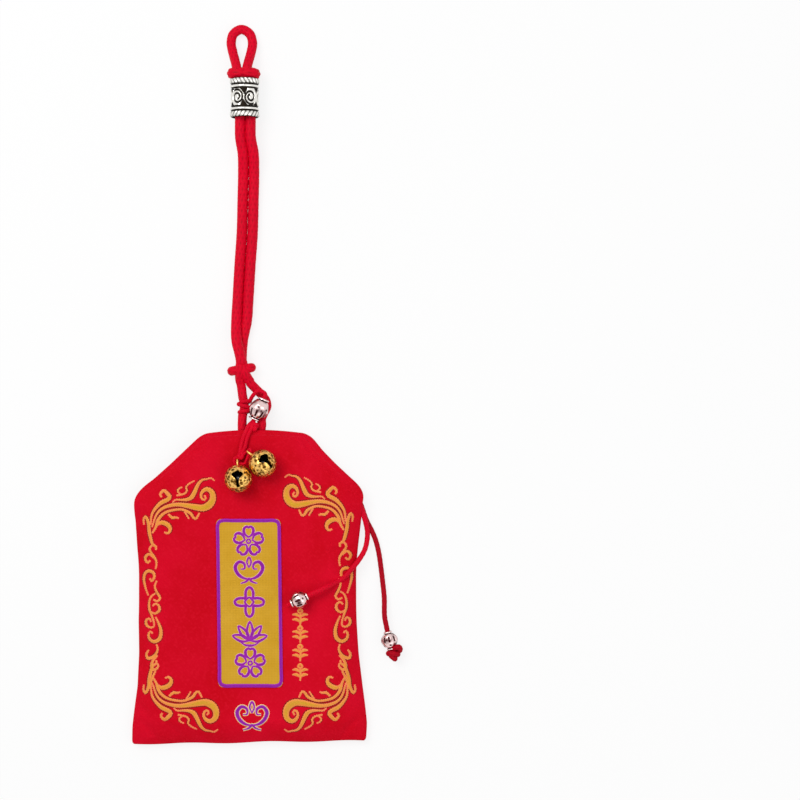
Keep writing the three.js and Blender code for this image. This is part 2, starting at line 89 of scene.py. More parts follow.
# Cut of the pouch
FRONT_LOW, FRONT_HIGH = box_mm("front_panel")
TOP_Y = FRONT_HIGH[1]
BOTTOM_Y = FRONT_LOW[1]
POUCH_HEIGHT = TOP_Y - BOTTOM_Y
CROWN = FRONT_HIGH[2]
POUCH_WIDTH = 70.0
WAIST_WIDTH = 64.6
SHOULDER_WIDTH = 68.6
TOP_EDGE_WIDTH = 24.0
WAIST_Y = TOP_Y - 44.5
SHOULDER_Y = TOP_Y - 17.5
SEAM_END_Y = TOP_Y - 27.0
SHOULDER_BLEND = 4.0
CORNER_RADIUS = 1.0
MOUTH_SLOPE = (SHOULDER_WIDTH - TOP_EDGE_WIDTH) / 2 / (TOP_Y - SHOULDER_Y)
CLOTH = 0.8
CLEARANCE = 0.3
SEAM_HEIGHT = 2.0
SIDE_SWELL = 16.0
BOTTOM_SWELL = 14.0
BACK_RIM = 5.0
LIP_CLOSING = 0.45
LIP_REACH = 14.0
LIP_OPEN = 7.0
LIP_CLOSED = 14.0


def linear(code):
    """An sRGB hex colour as linear RGBA."""
    parts = [int(code[i : i + 2], 16) / 255 for i in (1, 3, 5)]
    curved = [p / 12.92 if p <= 0.04045 else ((p + 0.055) / 1.055) ** 2.4 for p in parts]
    return (*curved, 1.0)


def length_prop(name, description, default):
    """A length that a user may change, kept in metres."""
    return FloatProperty(
        name=name, description=description, default=default * MM, min=0, subtype="DISTANCE", precision=5
    )


def colour_prop(name, description, code):
    """A colour that a user may change."""
    return FloatVectorProperty(
        name=name, description=description, default=linear(code), size=4, min=0, max=1, subtype="COLOR"
    )


class PouchSizes(bpy.types.PropertyGroup):
    """Sizes of the cords, the woven ornament and the metal pieces."""

    strap: length_prop("Strap", "Diameter of the braided strap cord", 3.3)
    tail: length_prop("Drawstring", "Diameter of the drawstring", 1.6)
    charm: length_prop("Charm cord", "Diameter of the cord that carries the bells", 1.25)
    ornament: length_prop("Ornament height", "How far the woven ornament stands proud of the cloth", 0.2)
    outline: length_prop("Outline", "Width of the dark outline on each side of a scroll", 0.3)
    label: length_prop("Label thickness", "Thickness of the woven label", 0.42)
    dimple: length_prop("Dimple depth", "Depth of the hammer marks on the bells", 0.16)
    slack: FloatProperty(
        name="Slack",
        description="Spare length of the front cloth",
        default=0.02,
        min=0,
        max=0.1,
        subtype="FACTOR",
    )
    fill: FloatProperty(
        name="Fill", description="Pressure that the filling puts on the cloth", default=3.0, min=0
    )


class PouchColours(bpy.types.PropertyGroup):
    """Colours of the cloth, the cords, the ornament and the metal pieces."""

    brocade: colour_prop("Brocade", "Red ground of the cloth", "#CE041A")
    brocade_light: colour_prop("Brocade light", "Red of the raised floats", "#DC0828")
    gold: colour_prop("Gold weft", "Middle of the gold scrolls", "#DCA428")
    gold_edge: colour_prop("Gold edge", "Edges of the gold scrolls", "#FF8860")
    # The outline colour is partly painted shade in the gaps between the gold floats
    outline: colour_prop("Outline", "Dark outline of the scrolls", "#5E1600")
    label: colour_prop("Label", "Gold ground of the label", "#CF9C1A")
    purple: colour_prop("Purple weft", "Border and ornament of the label", "#8E18A0")
    purple_edge: colour_prop("Purple edge", "Light edges of the purple ornament", "#B02CC0")
    strap: colour_prop("Strap", "Strap, charm cord and front tail", "#E4042A")
    # The drawstring's darker red is painted shade; the same cord's front tail wears the strap red
    tail: colour_prop("Drawstring", "Drawstring and its side tail", "#B8081F")
    silver: colour_prop("Silver", "Polished high spots of the barrel bead", "#EAE8E2")
    tarnish: colour_prop("Tarnish", "Blackened hollows of the barrel bead", "#1E1914")
    gilt: colour_prop("Gilt", "High spots of the bells", "#F0BE68")
    # The deep gilt also paints the shade on the bells' inner walls
    gilt_deep: colour_prop("Gilt deep", "Hollows of the bells", "#523208")
    # The pellets' dark grey is painted shade inside the bells
    steel: colour_prop("Steel", "Pellets in the bells", "#4A4C50")
    paper: colour_prop("Paper", "Wrap of the amulet card", "#F3EAD6")


def size(name):
    """One of the user's sizes, in millimetres."""
    return getattr(bpy.context.scene.pouch_sizes, name) / MM


def colour(name):
    """One of the user's colours."""
    return tuple(getattr(bpy.context.scene.pouch_colours, name))


# Materials


def join(tree, node, links):
    """Sets each input of a node to a value, or joins it to a socket."""
    for key, value in links.items():
        if isinstance(value, bpy.types.NodeSocket):
            tree.links.new(value, node.inputs[key])
        else:
            node.inputs[key].default_value = value


def add(tree, kind, settings=None, links=None, out=0):
    """Adds a shader node with its settings and links, and gives one of its outputs."""
    node = tree.nodes.new("ShaderNode" + kind)
    for name, value in (settings or {}).items():
        setattr(node, name, value)
    join(tree, node, links or {})
    return node.outputs[out]


def blank(name):
    """A new material, its tree and its shader."""
    material = bpy.data.materials.new(name)
    material.use_nodes = True
    tree = material.node_tree
    return material, tree, tree.nodes["Principled BSDF"]


def bands(spacing):
    """Scale of a wave texture whose bands are a spacing in millimetres apart."""
    return math.tau / 20 / (spacing * MM)


def grains(spacing):
    """Scale of a noise texture whose grains are about a spacing in millimetres wide."""
    return 1 / (spacing * MM)


# Settings of a node that mixes two colours: plainly, by darkening, or by deepening light and dark
PLAIN = {"data_type": "RGBA"}
DARKEN = {"data_type": "RGBA", "blend_type": "MULTIPLY"}
DEEPEN = {"data_type": "RGBA", "blend_type": "OVERLAY"}


@functools.cache
def red_brocade():
    """Satin-faced polyester brocade, jacquard woven: soft sheen, fine twill rib and small bright floats."""
    material, tree, shader = blank("red_brocade")
    place = add(tree, "TexCoord", out="Object")
    # The threads are 0.2 mm apart on the cloth, and the rib is drawn three times as coarse, so that it shows
    wave = {"Vector": place, "Scale": bands(0.6), "Distortion": 0.6}
    rib = add(tree, "TexWave", {"bands_direction": "DIAGONAL"}, wave, "Fac")
    dye = add(tree, "TexNoise", None, {"Vector": place, "Scale": grains(14), "Detail": 3.0}, "Fac")
    floats = add(tree, "TexNoise", None, {"Vector": place, "Scale": grains(0.7), "Detail": 2.0}, "Fac")
    dyed = add(tree, "MapRange", None, {"Value": dye, "From Min": 0.35, "From Max": 0.7})
    tone = add(tree, "Mix", PLAIN, {0: dyed, 6: colour("brocade"), 7: colour("brocade_light")}, 2)
    raised = add(tree, "MapRange", None, {"Value": floats, "From Min": 0.5, "From Max": 0.75, "To Max": 0.5})
    speckled = add(tree, "Mix", PLAIN, {0: raised, 6: tone, 7: linear("#E4142F")}, 2)
    ribbed = add(tree, "Mix", DARKEN, {0: 0.03, 6: speckled, 7: rib}, 2)
    normal = add(tree, "Bump", None, {"Height": floats, "Distance": 0.08 * MM, "Strength": 0.3})
    join(tree, shader, {"Base Color": ribbed, "Normal": normal, "Roughness": 0.7, "Sheen Weight": 0.03})
    join(tree, shader, {"Sheen Roughness": 0.4, "Sheen Tint": linear("#FF6070"), "Specular IOR Level": 0.04})
    return material


def weft(name, tones, turns, roughness, metallic):
    """Floated weft thread: tones from its edge to its middle, each turning over a range of millimetres."""
    material, tree, shader = blank(name)
    thread = add(tree, "UVMap", {"uv_map": "thread"})
    parts = tree.nodes.new("ShaderNodeSeparateXYZ")
    join(tree, parts, {0: thread})
    # One pick lies every 0.2 mm on the cloth, and is drawn at 0.4 mm, so that it shows
    turn = add(tree, "Math", {"operation": "MULTIPLY"}, {0: parts.outputs["X"], 1: math.tau / 0.4})
    wave = add(tree, "Math", {"operation": "SINE"}, {0: turn})
    pick = add(tree, "MapRange", None, {"Value": wave, "From Min": -1.0})
    place = add(tree, "TexCoord", out="Object")
    wear = add(tree, "TexNoise", None, {"Vector": place, "Scale": grains(2.2), "Detail": 3.0}, "Fac")
    body = tones[0]
    for tone, (start, end) in zip(tones[1:], turns):
        share = add(tree, "MapRange", None, {"Value": parts.outputs["Y"], "From Min": start, "From Max": end})
        body = add(tree, "Mix", PLAIN, {0: share, 6: body, 7: tone}, 2)
    rubbed = add(tree, "MapRange", None, {"Value": wear, "From Min": 0.4, "From Max": 0.75, "To Max": 0.3})
    worn = add(tree, "Mix", PLAIN, {0: rubbed, 6: body, 7: tones[0]}, 2)
    picked = add(tree, "Mix", DARKEN, {0: 0.15, 6: worn, 7: pick}, 2)
    normal = add(tree, "Bump", None, {"Height": pick, "Distance": 0.08 * MM, "Strength": 0.5})
    join(tree, shader, {"Base Color": picked, "Normal": normal, "Roughness": roughness, "Metallic": metallic})
    join(tree, shader, {"Specular IOR Level": 0.12})
    return material


@functools.cache
def gold_weft():
    """Gold lurex weft floated over the cloth: olive gold, orange shoulders, salmon edges, a thready glint."""
    tones = (colour("gold_edge"), linear("#F59C40"), colour("gold"))
    return weft("gold_weft", tones, ((0.08, 0.24), (0.34, 0.66)), 0.45, 0.1)


@functools.cache
def purple_weft():
    """Purple rayon weft floated over the label: saturated, with a light sheen along the edges."""
    return weft("purple_weft", (colour("purple_edge"), colour("purple")), ((0.12, 0.45),), 0.5, 0.0)


@functools.cache
def dark_outline():
    """Brown binding weft sunk round each gold float, which also paints the shade in the gaps between close
    floats: dark beside the gold, red where it meets the cloth.
    """
    return weft("dark_outline", (linear("#B40A16"), colour("outline")), ((0.03, 0.24),), 0.7, 0.0)


@functools.cache
def pale_edge():
    """Pale gold binding weft round the purple ornament."""
    return weft("pale_edge", (linear("#F4D79A"), linear("#E8BE6A")), ((0.1, 0.4),), 0.5, 0.1)


@functools.cache
def gold_label_cloth():
    """Label woven of gold lurex: close level picks, a metallic glint and slightly uneven tone."""
    material, tree, shader = blank("gold_label_cloth")
    place = add(tree, "TexCoord", out="Object")
    # Picks are 0.15 mm apart on the label, and are drawn at 0.5 mm, so that they show
    wave = {"Vector": place, "Scale": bands(0.5), "Distortion": 0.4}
    pick = add(tree, "TexWave", {"bands_direction": "Y"}, wave, "Fac")
    warp = add(tree, "TexWave", {"bands_direction": "X"}, {"Vector": place, "Scale": bands(0.9)}, "Fac")
    tone = add(tree, "TexNoise", None, {"Vector": place, "Scale": grains(5), "Detail": 4.0}, "Fac")
    toned = add(tree, "MapRange", None, {"Value": tone, "From Min": 0.3, "From Max": 0.7})
    ground = add(tree, "Mix", PLAIN, {0: toned, 6: colour("label"), 7: linear("#D8A62A")}, 2)
    picked = add(tree, "Mix", DARKEN, {0: 0.08, 6: ground, 7: pick}, 2)
    woven = add(tree, "Mix", DARKEN, {0: 0.04, 6: picked, 7: warp}, 2)
    normal = add(tree, "Bump", None, {"Height": pick, "Distance": 0.05 * MM, "Strength": 0.3})
    join(tree, shader, {"Base Color": woven, "Normal": normal, "Roughness": 0.55, "Metallic": 0.1})
    join(tree, shader, {"Specular IOR Level": 0.2})
    return material


def braided(name, light, dark, roughness):
    """Braided polyester cord: satin on the strands, with painted shade darkening the hollows between them."""
    material, tree, shader = blank(name)
    depth = add(tree, "Attribute", {"attribute_name": "recess"}, None, "Fac")
    place = add(tree, "TexCoord", out="Object")
    fibre = add(tree, "TexNoise", None, {"Vector": place, "Scale": grains(0.5), "Detail": 3.0}, "Fac")
    wear = add(tree, "TexNoise", None, {"Vector": place, "Scale": grains(9), "Detail": 2.0}, "Fac")
    # Painted shade: the deeper the braid's hollow, the closer the colour comes to the dark one
    hollow = add(tree, "MapRange", None, {"Value": depth, "From Min": 0.1, "From Max": 0.95})
    body = add(tree, "Mix", PLAIN, {0: hollow, 6: light, 7: dark}, 2)
    rubbed = add(tree, "MapRange", None, {"Value": wear, "From Min": 0.35, "From Max": 0.75, "To Max": 0.25})
    tone = add(tree, "Mix", PLAIN, {0: rubbed, 6: body, 7: dark}, 2)
    fine = add(tree, "Mix", DEEPEN, {0: 0.2, 6: tone, 7: fibre}, 2)
    normal = add(tree, "Bump", None, {"Height": fibre, "Distance": 0.05 * MM, "Strength": 0.4})
    join(tree, shader, {"Base Color": fine, "Normal": normal, "Roughness": roughness, "Sheen Weight": 0.02})
    join(tree, shader, {"Sheen Tint": linear("#FF6070"), "Specular IOR Level": 0.06})
    return material


@functools.cache
def strap_braid():
    """Bright red nylon braid of the strap, the charm cord and the front tail."""
    return braided("strap_braid", colour("strap"), linear("#AE0820"), 0.5)


@functools.cache
def drawstring_braid():
    """Waxed braid of the drawstring in its hem and at the side, with painted shade: darker than the cloth and
    than the same cord in the front tail.
    """
    return braided("drawstring_braid", colour("tail"), linear("#8C0618"), 0.55)


@functools.cache
def sewing_thread():
    """Spun polyester sewing thread, a little lighter than the cloth that it hems."""
    return braided("sewing_thread", linear("#D8142E"), linear("#B00A20"), 0.6)


def plated(name, high, hollow, smooth, dull, stained=0.3):
    """A cast and plated metal, bright where it is rubbed and dark in its hollows."""
    material, tree, shader = blank(name)
    depth = add(tree, "Attribute", {"attribute_name": "recess"}, None, "Fac")
    place = add(tree, "TexCoord", out="Object")
    grain = add(tree, "TexNoise", None, {"Vector": place, "Scale": grains(0.6), "Detail": 4.0}, "Fac")
    stain = add(tree, "Math", {"operation": "MULTIPLY_ADD"}, {0: grain, 1: stained, 2: -stained / 2})
    uneven = add(tree, "Math", {"operation": "ADD"}, {0: depth, 1: stain})
    dark = add(tree, "MapRange", None, {"Value": uneven, "From Min": 0.25, "From Max": 0.8})
    rough = add(tree, "MapRange", None, {"Value": dark, "To Min": smooth, "To Max": dull})
    normal = add(tree, "Bump", None, {"Height": grain, "Distance": 0.04 * MM, "Strength": 0.35})
    tone = add(tree, "Mix", PLAIN, {0: dark, 6: high, 7: hollow}, 2)
    join(tree, shader, {"Base Color": tone, "Roughness": rough, "Normal": normal, "Metallic": 1.0})
    return material


@functools.cache
def antique_silver():
    """Cast zinc with antique silver plate: polished high spots, blackened hollows."""
    return plated("antique_silver", colour("silver"), colour("tarnish"), 0.14, 0.5)


@functools.cache
def worn_silver():
    """Thin silver plate with a painted pink reflection of the red cloth on its high spots, and dark red-brown
    hollows.
    """
    # The pink of the high spots is a painted reflection of the red cloth
    return plated("worn_silver", linear("#E8CCCA"), linear("#3A1014"), 0.14, 0.5, 0.7)


@functools.cache
def hammered_gilt():
    """Brass bell, gilt and hammered: bright facets with brown hollows, and painted shade on its inner wall.
    """
    return plated("hammered_gilt", colour("gilt"), colour("gilt_deep"), 0.2, 0.5, 1.1)


@functools.cache
def tumbled_steel():
    """Tumbled steel pellet, painted dark grey for the shade inside its bell, with a soft gloss."""
    return plated("tumbled_steel", colour("steel"), linear("#3A3C40"), 0.35, 0.55)


@functools.cache
def wrapping_paper():
    """Uncoated mulberry paper, folded: matt, with long pale fibres."""
    material, tree, shader = blank("wrapping_paper")
    place = add(tree, "TexCoord", out="Object")
    pulp = {"Vector": place, "Scale": grains(1.5), "Detail": 6.0, "Distortion": 1.5}
    fibre = add(tree, "TexNoise", None, pulp, "Fac")
    pale = add(tree, "MapRange", None, {"Value": fibre, "From Min": 0.4, "From Max": 0.7})
    tone = add(tree, "Mix", PLAIN, {0: pale, 6: colour("paper"), 7: linear("#E2D3B4")}, 2)
    normal = add(tree, "Bump", None, {"Height": fibre, "Distance": 0.05 * MM, "Strength": 0.4})
    join(tree, shader, {"Base Color": tone, "Normal": normal, "Roughness": 0.85, "IOR": 1.5})
    return material


# Meshes from rows of points


def patch(rows, along, across, wrap=False, caps=False, recess=None):
    """A net of points in millimetres: its points, faces, thread directions and depth of relief."""
    rows = np.asarray(rows, float)
    count, width = rows.shape[:2]
    i, j = np.meshgrid(np.arange(count - 1), np.arange(width if wrap else width - 1), indexing="ij")
    right = (j + 1) % width
    faces = np.stack([i * width + j, i * width + right, (i + 1) * width + right, (i + 1) * width + j], -1)
    along = np.asarray(along, float)
    across = np.asarray(across, float)
    across = np.broadcast_to(across, (count, across.shape[-1]))
    corners = [(i, j), (i, j + 1), (i + 1, j + 1), (i + 1, j)]
    ends = [(along[row], across[row, column]) for row, column in corners]
    uvs = np.stack([np.stack(pair, -1) for pair in ends], -2)
    points = rows.reshape(-1, 3)
    faces = faces.reshape(-1, 4).tolist()
    uvs = uvs.reshape(-1, 2)
    depth = np.zeros(len(points)) if recess is None else np.asarray(recess, float).reshape(-1)
    if caps:
        first = list(range(width))[::-1]
        last = [(count - 1) * width + k for k in range(width)]
        faces += [first, last]
        flat = [np.column_stack([np.full(width, along[e]), across[e, :width]]) for e in (0, -1)]
        uvs = np.vstack([uvs, flat[0][::-1], flat[1]])
    return {"points": points, "faces": faces, "uvs": uvs, "recess": depth}


def moved(shape, matrix):
    """A patch turned and moved by a matrix in millimetres."""
    m = np.array(matrix)
    return {**shape, "points": shape["points"] @ m[:3, :3].T + m[:3, 3]}


def piece(name, patches, material, merge=False):
    """One Blender object made of patches, in metres."""
    points, faces, uvs, recess = [], [], [], []
    start = 0
    for shape in patches:
        points.append(shape["points"])
        faces += [[corner + start for corner in face] for face in shape["faces"]]
        uvs.append(shape["uvs"])
        recess.append(shape["recess"])
        start += len(shape["points"])
    mesh = bpy.data.meshes.new(name)
    mesh.from_pydata((np.vstack(points) * MM).tolist(), [], faces)
    layer = mesh.uv_layers.new(name="thread")
    layer.data.foreach_set("uv", np.vstack(uvs).astype(np.float32).ravel())
    depth = mesh.attributes.new("recess", "FLOAT", "POINT")
    depth.data.foreach_set("value", np.concatenate(recess).astype(np.float32))
    if merge:
        body = bmesh.new()
        body.from_mesh(mesh)
        bmesh.ops.remove_doubles(body, verts=body.verts, dist=1e-6)
        bmesh.ops.dissolve_degenerate(body, edges=body.edges, dist=1e-7)
        body.to_mesh(mesh)
        body.free()
    mesh.shade_smooth()
    mesh.set_sharp_from_angle(angle=math.radians(60))
    mesh.materials.append(material)
    made = bpy.data.objects.new(name, mesh)
    bpy.context.scene.collection.objects.link(made)
    return made


def dress(made, body, slot, *nodes):
    """Rides a piece on its body and hides the CAD nodes that it stands for; slot is not used."""
    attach(made, body)
    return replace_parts(made, *nodes) if nodes else made


def bend(made, body_a, body_b, start, end, slot, *nodes):
    """Bakes a piece's transform into its mesh and hides the CAD nodes that it stands for; body_a, body_b,
    start, end and slot are not used.
    """
    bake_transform(made)
    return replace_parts(made, *nodes) if nodes else made


# Routes and cords


def smooth_route(points, step):
    """Points a step apart on the smooth curve through a route's points."""
    points = np.asarray(points, float)
    ends = np.vstack([2 * points[0] - points[1], points, 2 * points[-1] - points[-2]])
    share = np.linspace(0, 1, 24, endpoint=False)[:, None]
    fine = []
    for p0, p1, p2, p3 in zip(ends, ends[1:], ends[2:], ends[3:]):
        d0, d1, d2 = (max(np.linalg.norm(b - a), 1e-6) ** 0.5 for a, b in ((p0, p1), (p1, p2), (p2, p3)))
        out = ((p1 - p0) / d0 - (p2 - p0) / (d0 + d1) + (p2 - p1) / d1) * d1
        back = ((p2 - p1) / d1 - (p3 - p1) / (d1 + d2) + (p3 - p2) / d2) * d1
        cubic = 2 * p1 - 2 * p2 + out + back
        square = -3 * p1 + 3 * p2 - 2 * out - back
        fine.append(cubic * share**3 + square * share**2 + out * share + p1)
    line = np.vstack([*fine, points[-1]])
    travel = distances(line)
    count = max(int(round(travel[-1] / step)), 2)
    stops = np.linspace(0, travel[-1], count + 1)
    return np.column_stack([np.interp(stops, travel, line[:, k]) for k in range(points.shape[1])])


def distances(line):
    """Distance travelled to each point of a line."""
    return np.concatenate([[0.0], np.cumsum(np.linalg.norm(np.diff(line, axis=0), axis=1))])


def frames_along(line):
    """Two directions square to a line at each of its points, that don't twist round it."""
    tangents = np.gradient(line, axis=0)
    tangents /= np.linalg.norm(tangents, axis=1)[:, None]
    first = np.cross(tangents[0], (0.0, 0.0, 1.0))
    if np.linalg.norm(first) < 0.1:
        first = np.cross(tangents[0], (0.0, 1.0, 0.0))
    normals = [first / np.linalg.norm(first)]
    for tangent in tangents[1:]:
        side = normals[-1] - tangent * (normals[-1] @ tangent)
        normals.append(side / np.linalg.norm(side))
    normals = np.array(normals)
    return normals, np.cross(tangents, normals)


def braid_depth(travel, angle, carriers, pitch):
    """Depth of a round braid's surface, from 0 on a strand to 1 in a hollow."""
    rise = math.pi * travel / pitch
    left = np.abs(np.cos(carriers * angle / 2 + rise))
    right = np.abs(np.cos(carriers * angle / 2 - rise))
    return 1 - np.maximum(left, right)


def tube(route, diameter, carriers=8, pitch=1.0, depth=0.14, step=0.2, sides=28, round_ends=True):
    """A braided cord along a route, and the line that it follows."""
    line = smooth_route(route, step * diameter / 2)
    normals, others = frames_along(line)
    travel = distances(line)
    angle = np.linspace(0, math.tau, sides, endpoint=False)
    hollow = braid_depth(travel[:, None], angle[None, :], carriers, pitch * diameter)
    radius = diameter / 2 * (1 - depth * hollow)
    if round_ends:
        near = np.clip(np.minimum(travel, travel[-1] - travel) / (diameter / 2), 0.02, 1)
        radius = radius * np.sqrt(1 - (1 - near) ** 2)[:, None]
    ring = np.cos(angle)[None, :, None] * normals[:, None, :]
    ring = ring + np.sin(angle)[None, :, None] * others[:, None, :]
    rows = line[:, None, :] + ring * radius[:, :, None]
    across = np.linspace(0, 1, sides + 1)
    return patch(rows, travel, across, wrap=True, caps=True, recess=hollow), line


def heading(degrees):
    """Direction in the plane of the table."""
    return np.array([math.cos(math.radians(degrees)), math.sin(math.radians(degrees)), 0.0])


def shifted(point, *steps):
    """A point moved by each of some steps."""
    return np.asarray(point, float) + sum(np.asarray(step, float) for step in steps)


# Shape of the pouch


def smoothstep(share):
    """Smooth rise from 0 to 1."""
    share = np.clip(share, 0, 1)
    return share * share * (3 - 2 * share)


def swell(distance, reach):
    """Share of the full swell at a distance from a sewn edge."""
    return 1 - (1 - np.clip(distance / reach, 0, 1)) ** 2


def half_width(y):
    """Half the pouch's width at a height: waist, shoulders, slanted mouth and round corners."""
    y = np.asarray(y, float)
    low = y < WAIST_Y
    away = np.where(low, (WAIST_Y - y) / (WAIST_Y - BOTTOM_Y), (y - WAIST_Y) / (SHOULDER_Y - WAIST_Y))
    far = np.where(low, POUCH_WIDTH, SHOULDER_WIDTH)
    side = (WAIST_WIDTH + (far - WAIST_WIDTH) * smoothstep(away)) / 2
    slant = TOP_EDGE_WIDTH / 2 + (TOP_Y - y) * MOUTH_SLOPE
    mix = np.maximum(SHOULDER_BLEND - np.abs(side - slant), 0) / SHOULDER_BLEND
    width = np.minimum(side, slant) - mix**2 * SHOULDER_BLEND / 4
    short = CORNER_RADIUS - np.clip(y - BOTTOM_Y, 0, CORNER_RADIUS)
    return width - CORNER_RADIUS + np.sqrt(np.maximum(CORNER_RADIUS**2 - short**2, 0))


# How the cloth has settled away from its even cut, at some heights of the left and the right edge
EASE_HEIGHTS = (-53.0, -47.5, -42, -30, -20, -10, 0, 12, 26, 29.5, 33, 38, 42, 45.5, 47.5, 53.0)
LEFT_EASE = (-1.5, -1.5, -1.5, -0.6, -0.9, -1.8, -2.1, -2.1, -1.5, -0.5, 0.5, -0.3, -1.3, -2.2, -2.4, -1.5)
RIGHT_EASE = (-0.2, -0.2, 0.2, -0.5, -0.9, -0.8, -0.5, -0.5, -0.4, 0.0, 0.2, 1.2, 2.5, 4.3, 4.6, 3.0)
BOTTOM_RISE = 0.9
BOTTOM_RISE_REACH = 26.0
TOP_ARCH = 0.9
TOP_ARCH_REACH = 10.0
TOP_CORNER = 1.6


def rounded(values):
    """A rounded curve through the eases, for a fine row of heights."""
    fine = np.arange(EASE_HEIGHTS[0], EASE_HEIGHTS[-1], 0.2)
    window = np.hanning(17)
    return fine, np.convolve(np.interp(fine, EASE_HEIGHTS, values), window / window.sum(), "same")


LEFT_CURVE = rounded(LEFT_EASE)
RIGHT_CURVE = rounded(RIGHT_EASE)


def edges(y):
    """Left and right edge of the settled cloth, for a height of the even cut."""
    short = TOP_CORNER - np.clip(TOP_Y - y, 0, TOP_CORNER)
    half = half_width(y) - TOP_CORNER + np.sqrt(TOP_CORNER**2 - short**2)
    return np.interp(y, *LEFT_CURVE) - half, np.interp(y, *RIGHT_CURVE) + half


def settled_rise(share, y):
    """How far the settled cloth lies up the table, for a share across and a height of the even cut."""
    low = smoothstep(1 - (y - BOTTOM_Y) / BOTTOM_RISE_REACH)
    high = smoothstep(1 - (TOP_Y - y) / TOP_ARCH_REACH)
    ripple = 0.2 * np.sin(share * 9.0)
    return low * (BOTTOM_RISE * smoothstep((share + 1) / 2) + ripple) + high * TOP_ARCH * (0.75 - share**2)


def even_place(x, y):
    """Share across and height of the even cut, for a place on the settled cloth."""
    even_y = np.asarray(y, float)
    for _ in range(2):
        left, right = edges(np.clip(even_y, BOTTOM_Y, TOP_Y))
        share = np.clip((2 * x - left - right) / (right - left), -1, 1)
        even_y = y - settled_rise(share, even_y)
    return share, np.clip(even_y, BOTTOM_Y, TOP_Y)


def from_side(x, y):
    """Distance from the sewn part of the side seams."""
    seam_y = np.minimum(y, SEAM_END_Y)
    return np.hypot(np.maximum(half_width(seam_y) - np.abs(x), 0), y - seam_y)


def from_mouth(x, y):
    """Distance from the open edge of the mouth."""
    edge_y = TOP_Y - np.maximum(np.abs(x) - TOP_EDGE_WIDTH / 2, 0) / MOUTH_SLOPE
    return np.maximum(edge_y - y, 0) * MOUTH_SLOPE / math.hypot(1, MOUTH_SLOPE)


def front_inside(x, y):
    """Inner surface of the front cloth."""
    low = SEAM_HEIGHT + CLEARANCE / 2
    body = swell(from_side(x, y), SIDE_SWELL) * swell(y - BOTTOM_Y, BOTTOM_SWELL)
    near = (1 - np.clip(from_mouth(x, y) / LIP_REACH, 0, 1)) ** 2
    drawn = smoothstep((np.abs(x) - LIP_OPEN) / (LIP_CLOSED - LIP_OPEN))
    return low + (CROWN - CLOTH - low) * body * (1 - LIP_CLOSING * near * drawn)


def back_outside(x, y):
    """Outer surface of the back cloth."""
    rise = SEAM_HEIGHT - CLEARANCE / 2 - CLOTH
    return rise * (1 - swell(from_side(x, y), BACK_RIM) * swell(y - BOTTOM_Y, BACK_RIM))


# Stage

PHOTO_PIXELS = 800
PIXELS_PER_MM = 3.3
POUCH_PIXEL = (251, 589)
LENS = 100.0
SENSOR = 36.0
FLOOR_REACH = 3000.0
FLOOR_Z = -0.1
FLOOR_WHITE = 0.82
STUDIO_LIGHT = 0.46
LIT_PLACE = (0, 20, 0)

# Name, place, width and power of each lamp.
LAMPS = (
    ("key", (-260, 330, 620), 420, 2.6),
    ("fill", (330, -120, 520), 500, 0.8),
)


def seen_rays(tree):
    """One for the rays that meet the white background: from the camera, off metal and through glass."""
    path = tree.nodes.new("ShaderNodeLightPath")
    rays = {0: path.outputs["Is Camera Ray"], 1: path.outputs["Is Glossy Ray"]}
    seen = add(tree, "Math", {"operation": "MAXIMUM"}, rays)
    return add(tree, "Math", {"operation": "MAXIMUM"}, {0: seen, 1: path.outputs["Is Transmission Ray"]})


class POUCH_OT_stage(bpy.types.Operator):
    """Sets the camera straight above the pouch, with a white floor and soft light from the upper left"""

    bl_idname = "pouch.stage"
    bl_label = "Stage"

    def execute(self, context):
        self.set_camera(context)
        self.lay_floor(context)
        self.light(context)
        context.scene.view_settings.view_transform = "Standard"
        return {"FINISHED"}

    def set_camera(self, context):
        data = bpy.data.cameras.new("camera")
        data.lens = LENS
        data.sensor_width = SENSOR
        camera = bpy.data.objects.new("camera", data)
        view_width = PHOTO_PIXELS / PIXELS_PER_MM
        middle = PHOTO_PIXELS / 2
        x = (middle - POUCH_PIXEL[0]) / PIXELS_PER_MM
        y = (POUCH_PIXEL[1] - middle) / PIXELS_PER_MM
        camera.location = Vector((x, y, CROWN + view_width * LENS / SENSOR)) * MM
        context.scene.collection.objects.link(camera)
        context.scene.camera = camera

    def lay_floor(self, context):
        ends = (-FLOOR_REACH, FLOOR_REACH)
        rows = [[(x, y, FLOOR_Z) for x in ends] for y in ends]
        material, tree, shader = blank("white_floor")
        join(tree, shader, {"Base Color": linear("#FAFAFA"), "Roughness": 0.9, "Specular IOR Level": 0.1})
        shown = add(tree, "Math", {"operation": "MULTIPLY"}, {0: seen_rays(tree), 1: FLOOR_WHITE})
        white = add(tree, "Emission", None, {"Strength": 1.0})
        both = add(tree, "MixShader", None, {0: shown, 1: shader.outputs[0], 2: white})
        join(tree, tree.nodes["Material Output"], {"Surface": both})
        floor = piece("floor", [patch(rows, (0, 1), (0, 1))], material)

    def light(self, context):
        for name, place, width, power in LAMPS:
            data = bpy.data.lights.new(name, "AREA")
            data.size = width * MM
            data.energy = power
            lamp = bpy.data.objects.new(name, data)
            lamp.location = Vector(place) * MM
            aim = Vector(LIT_PLACE) * MM - lamp.location
            lamp.rotation_euler = aim.to_track_quat("-Z", "Y").to_euler()
            context.scene.collection.objects.link(lamp)
        world = bpy.data.worlds.new("studio")
        world.use_nodes = True
        tree = world.node_tree
        reach = {"Value": seen_rays(tree), "To Min": STUDIO_LIGHT, "To Max": 1.0}
        strength = add(tree, "MapRange", None, reach)
        join(tree, tree.nodes["Background"], {"Color": (1, 1, 1, 1), "Strength": strength})
        context.scene.world = world


# Strap

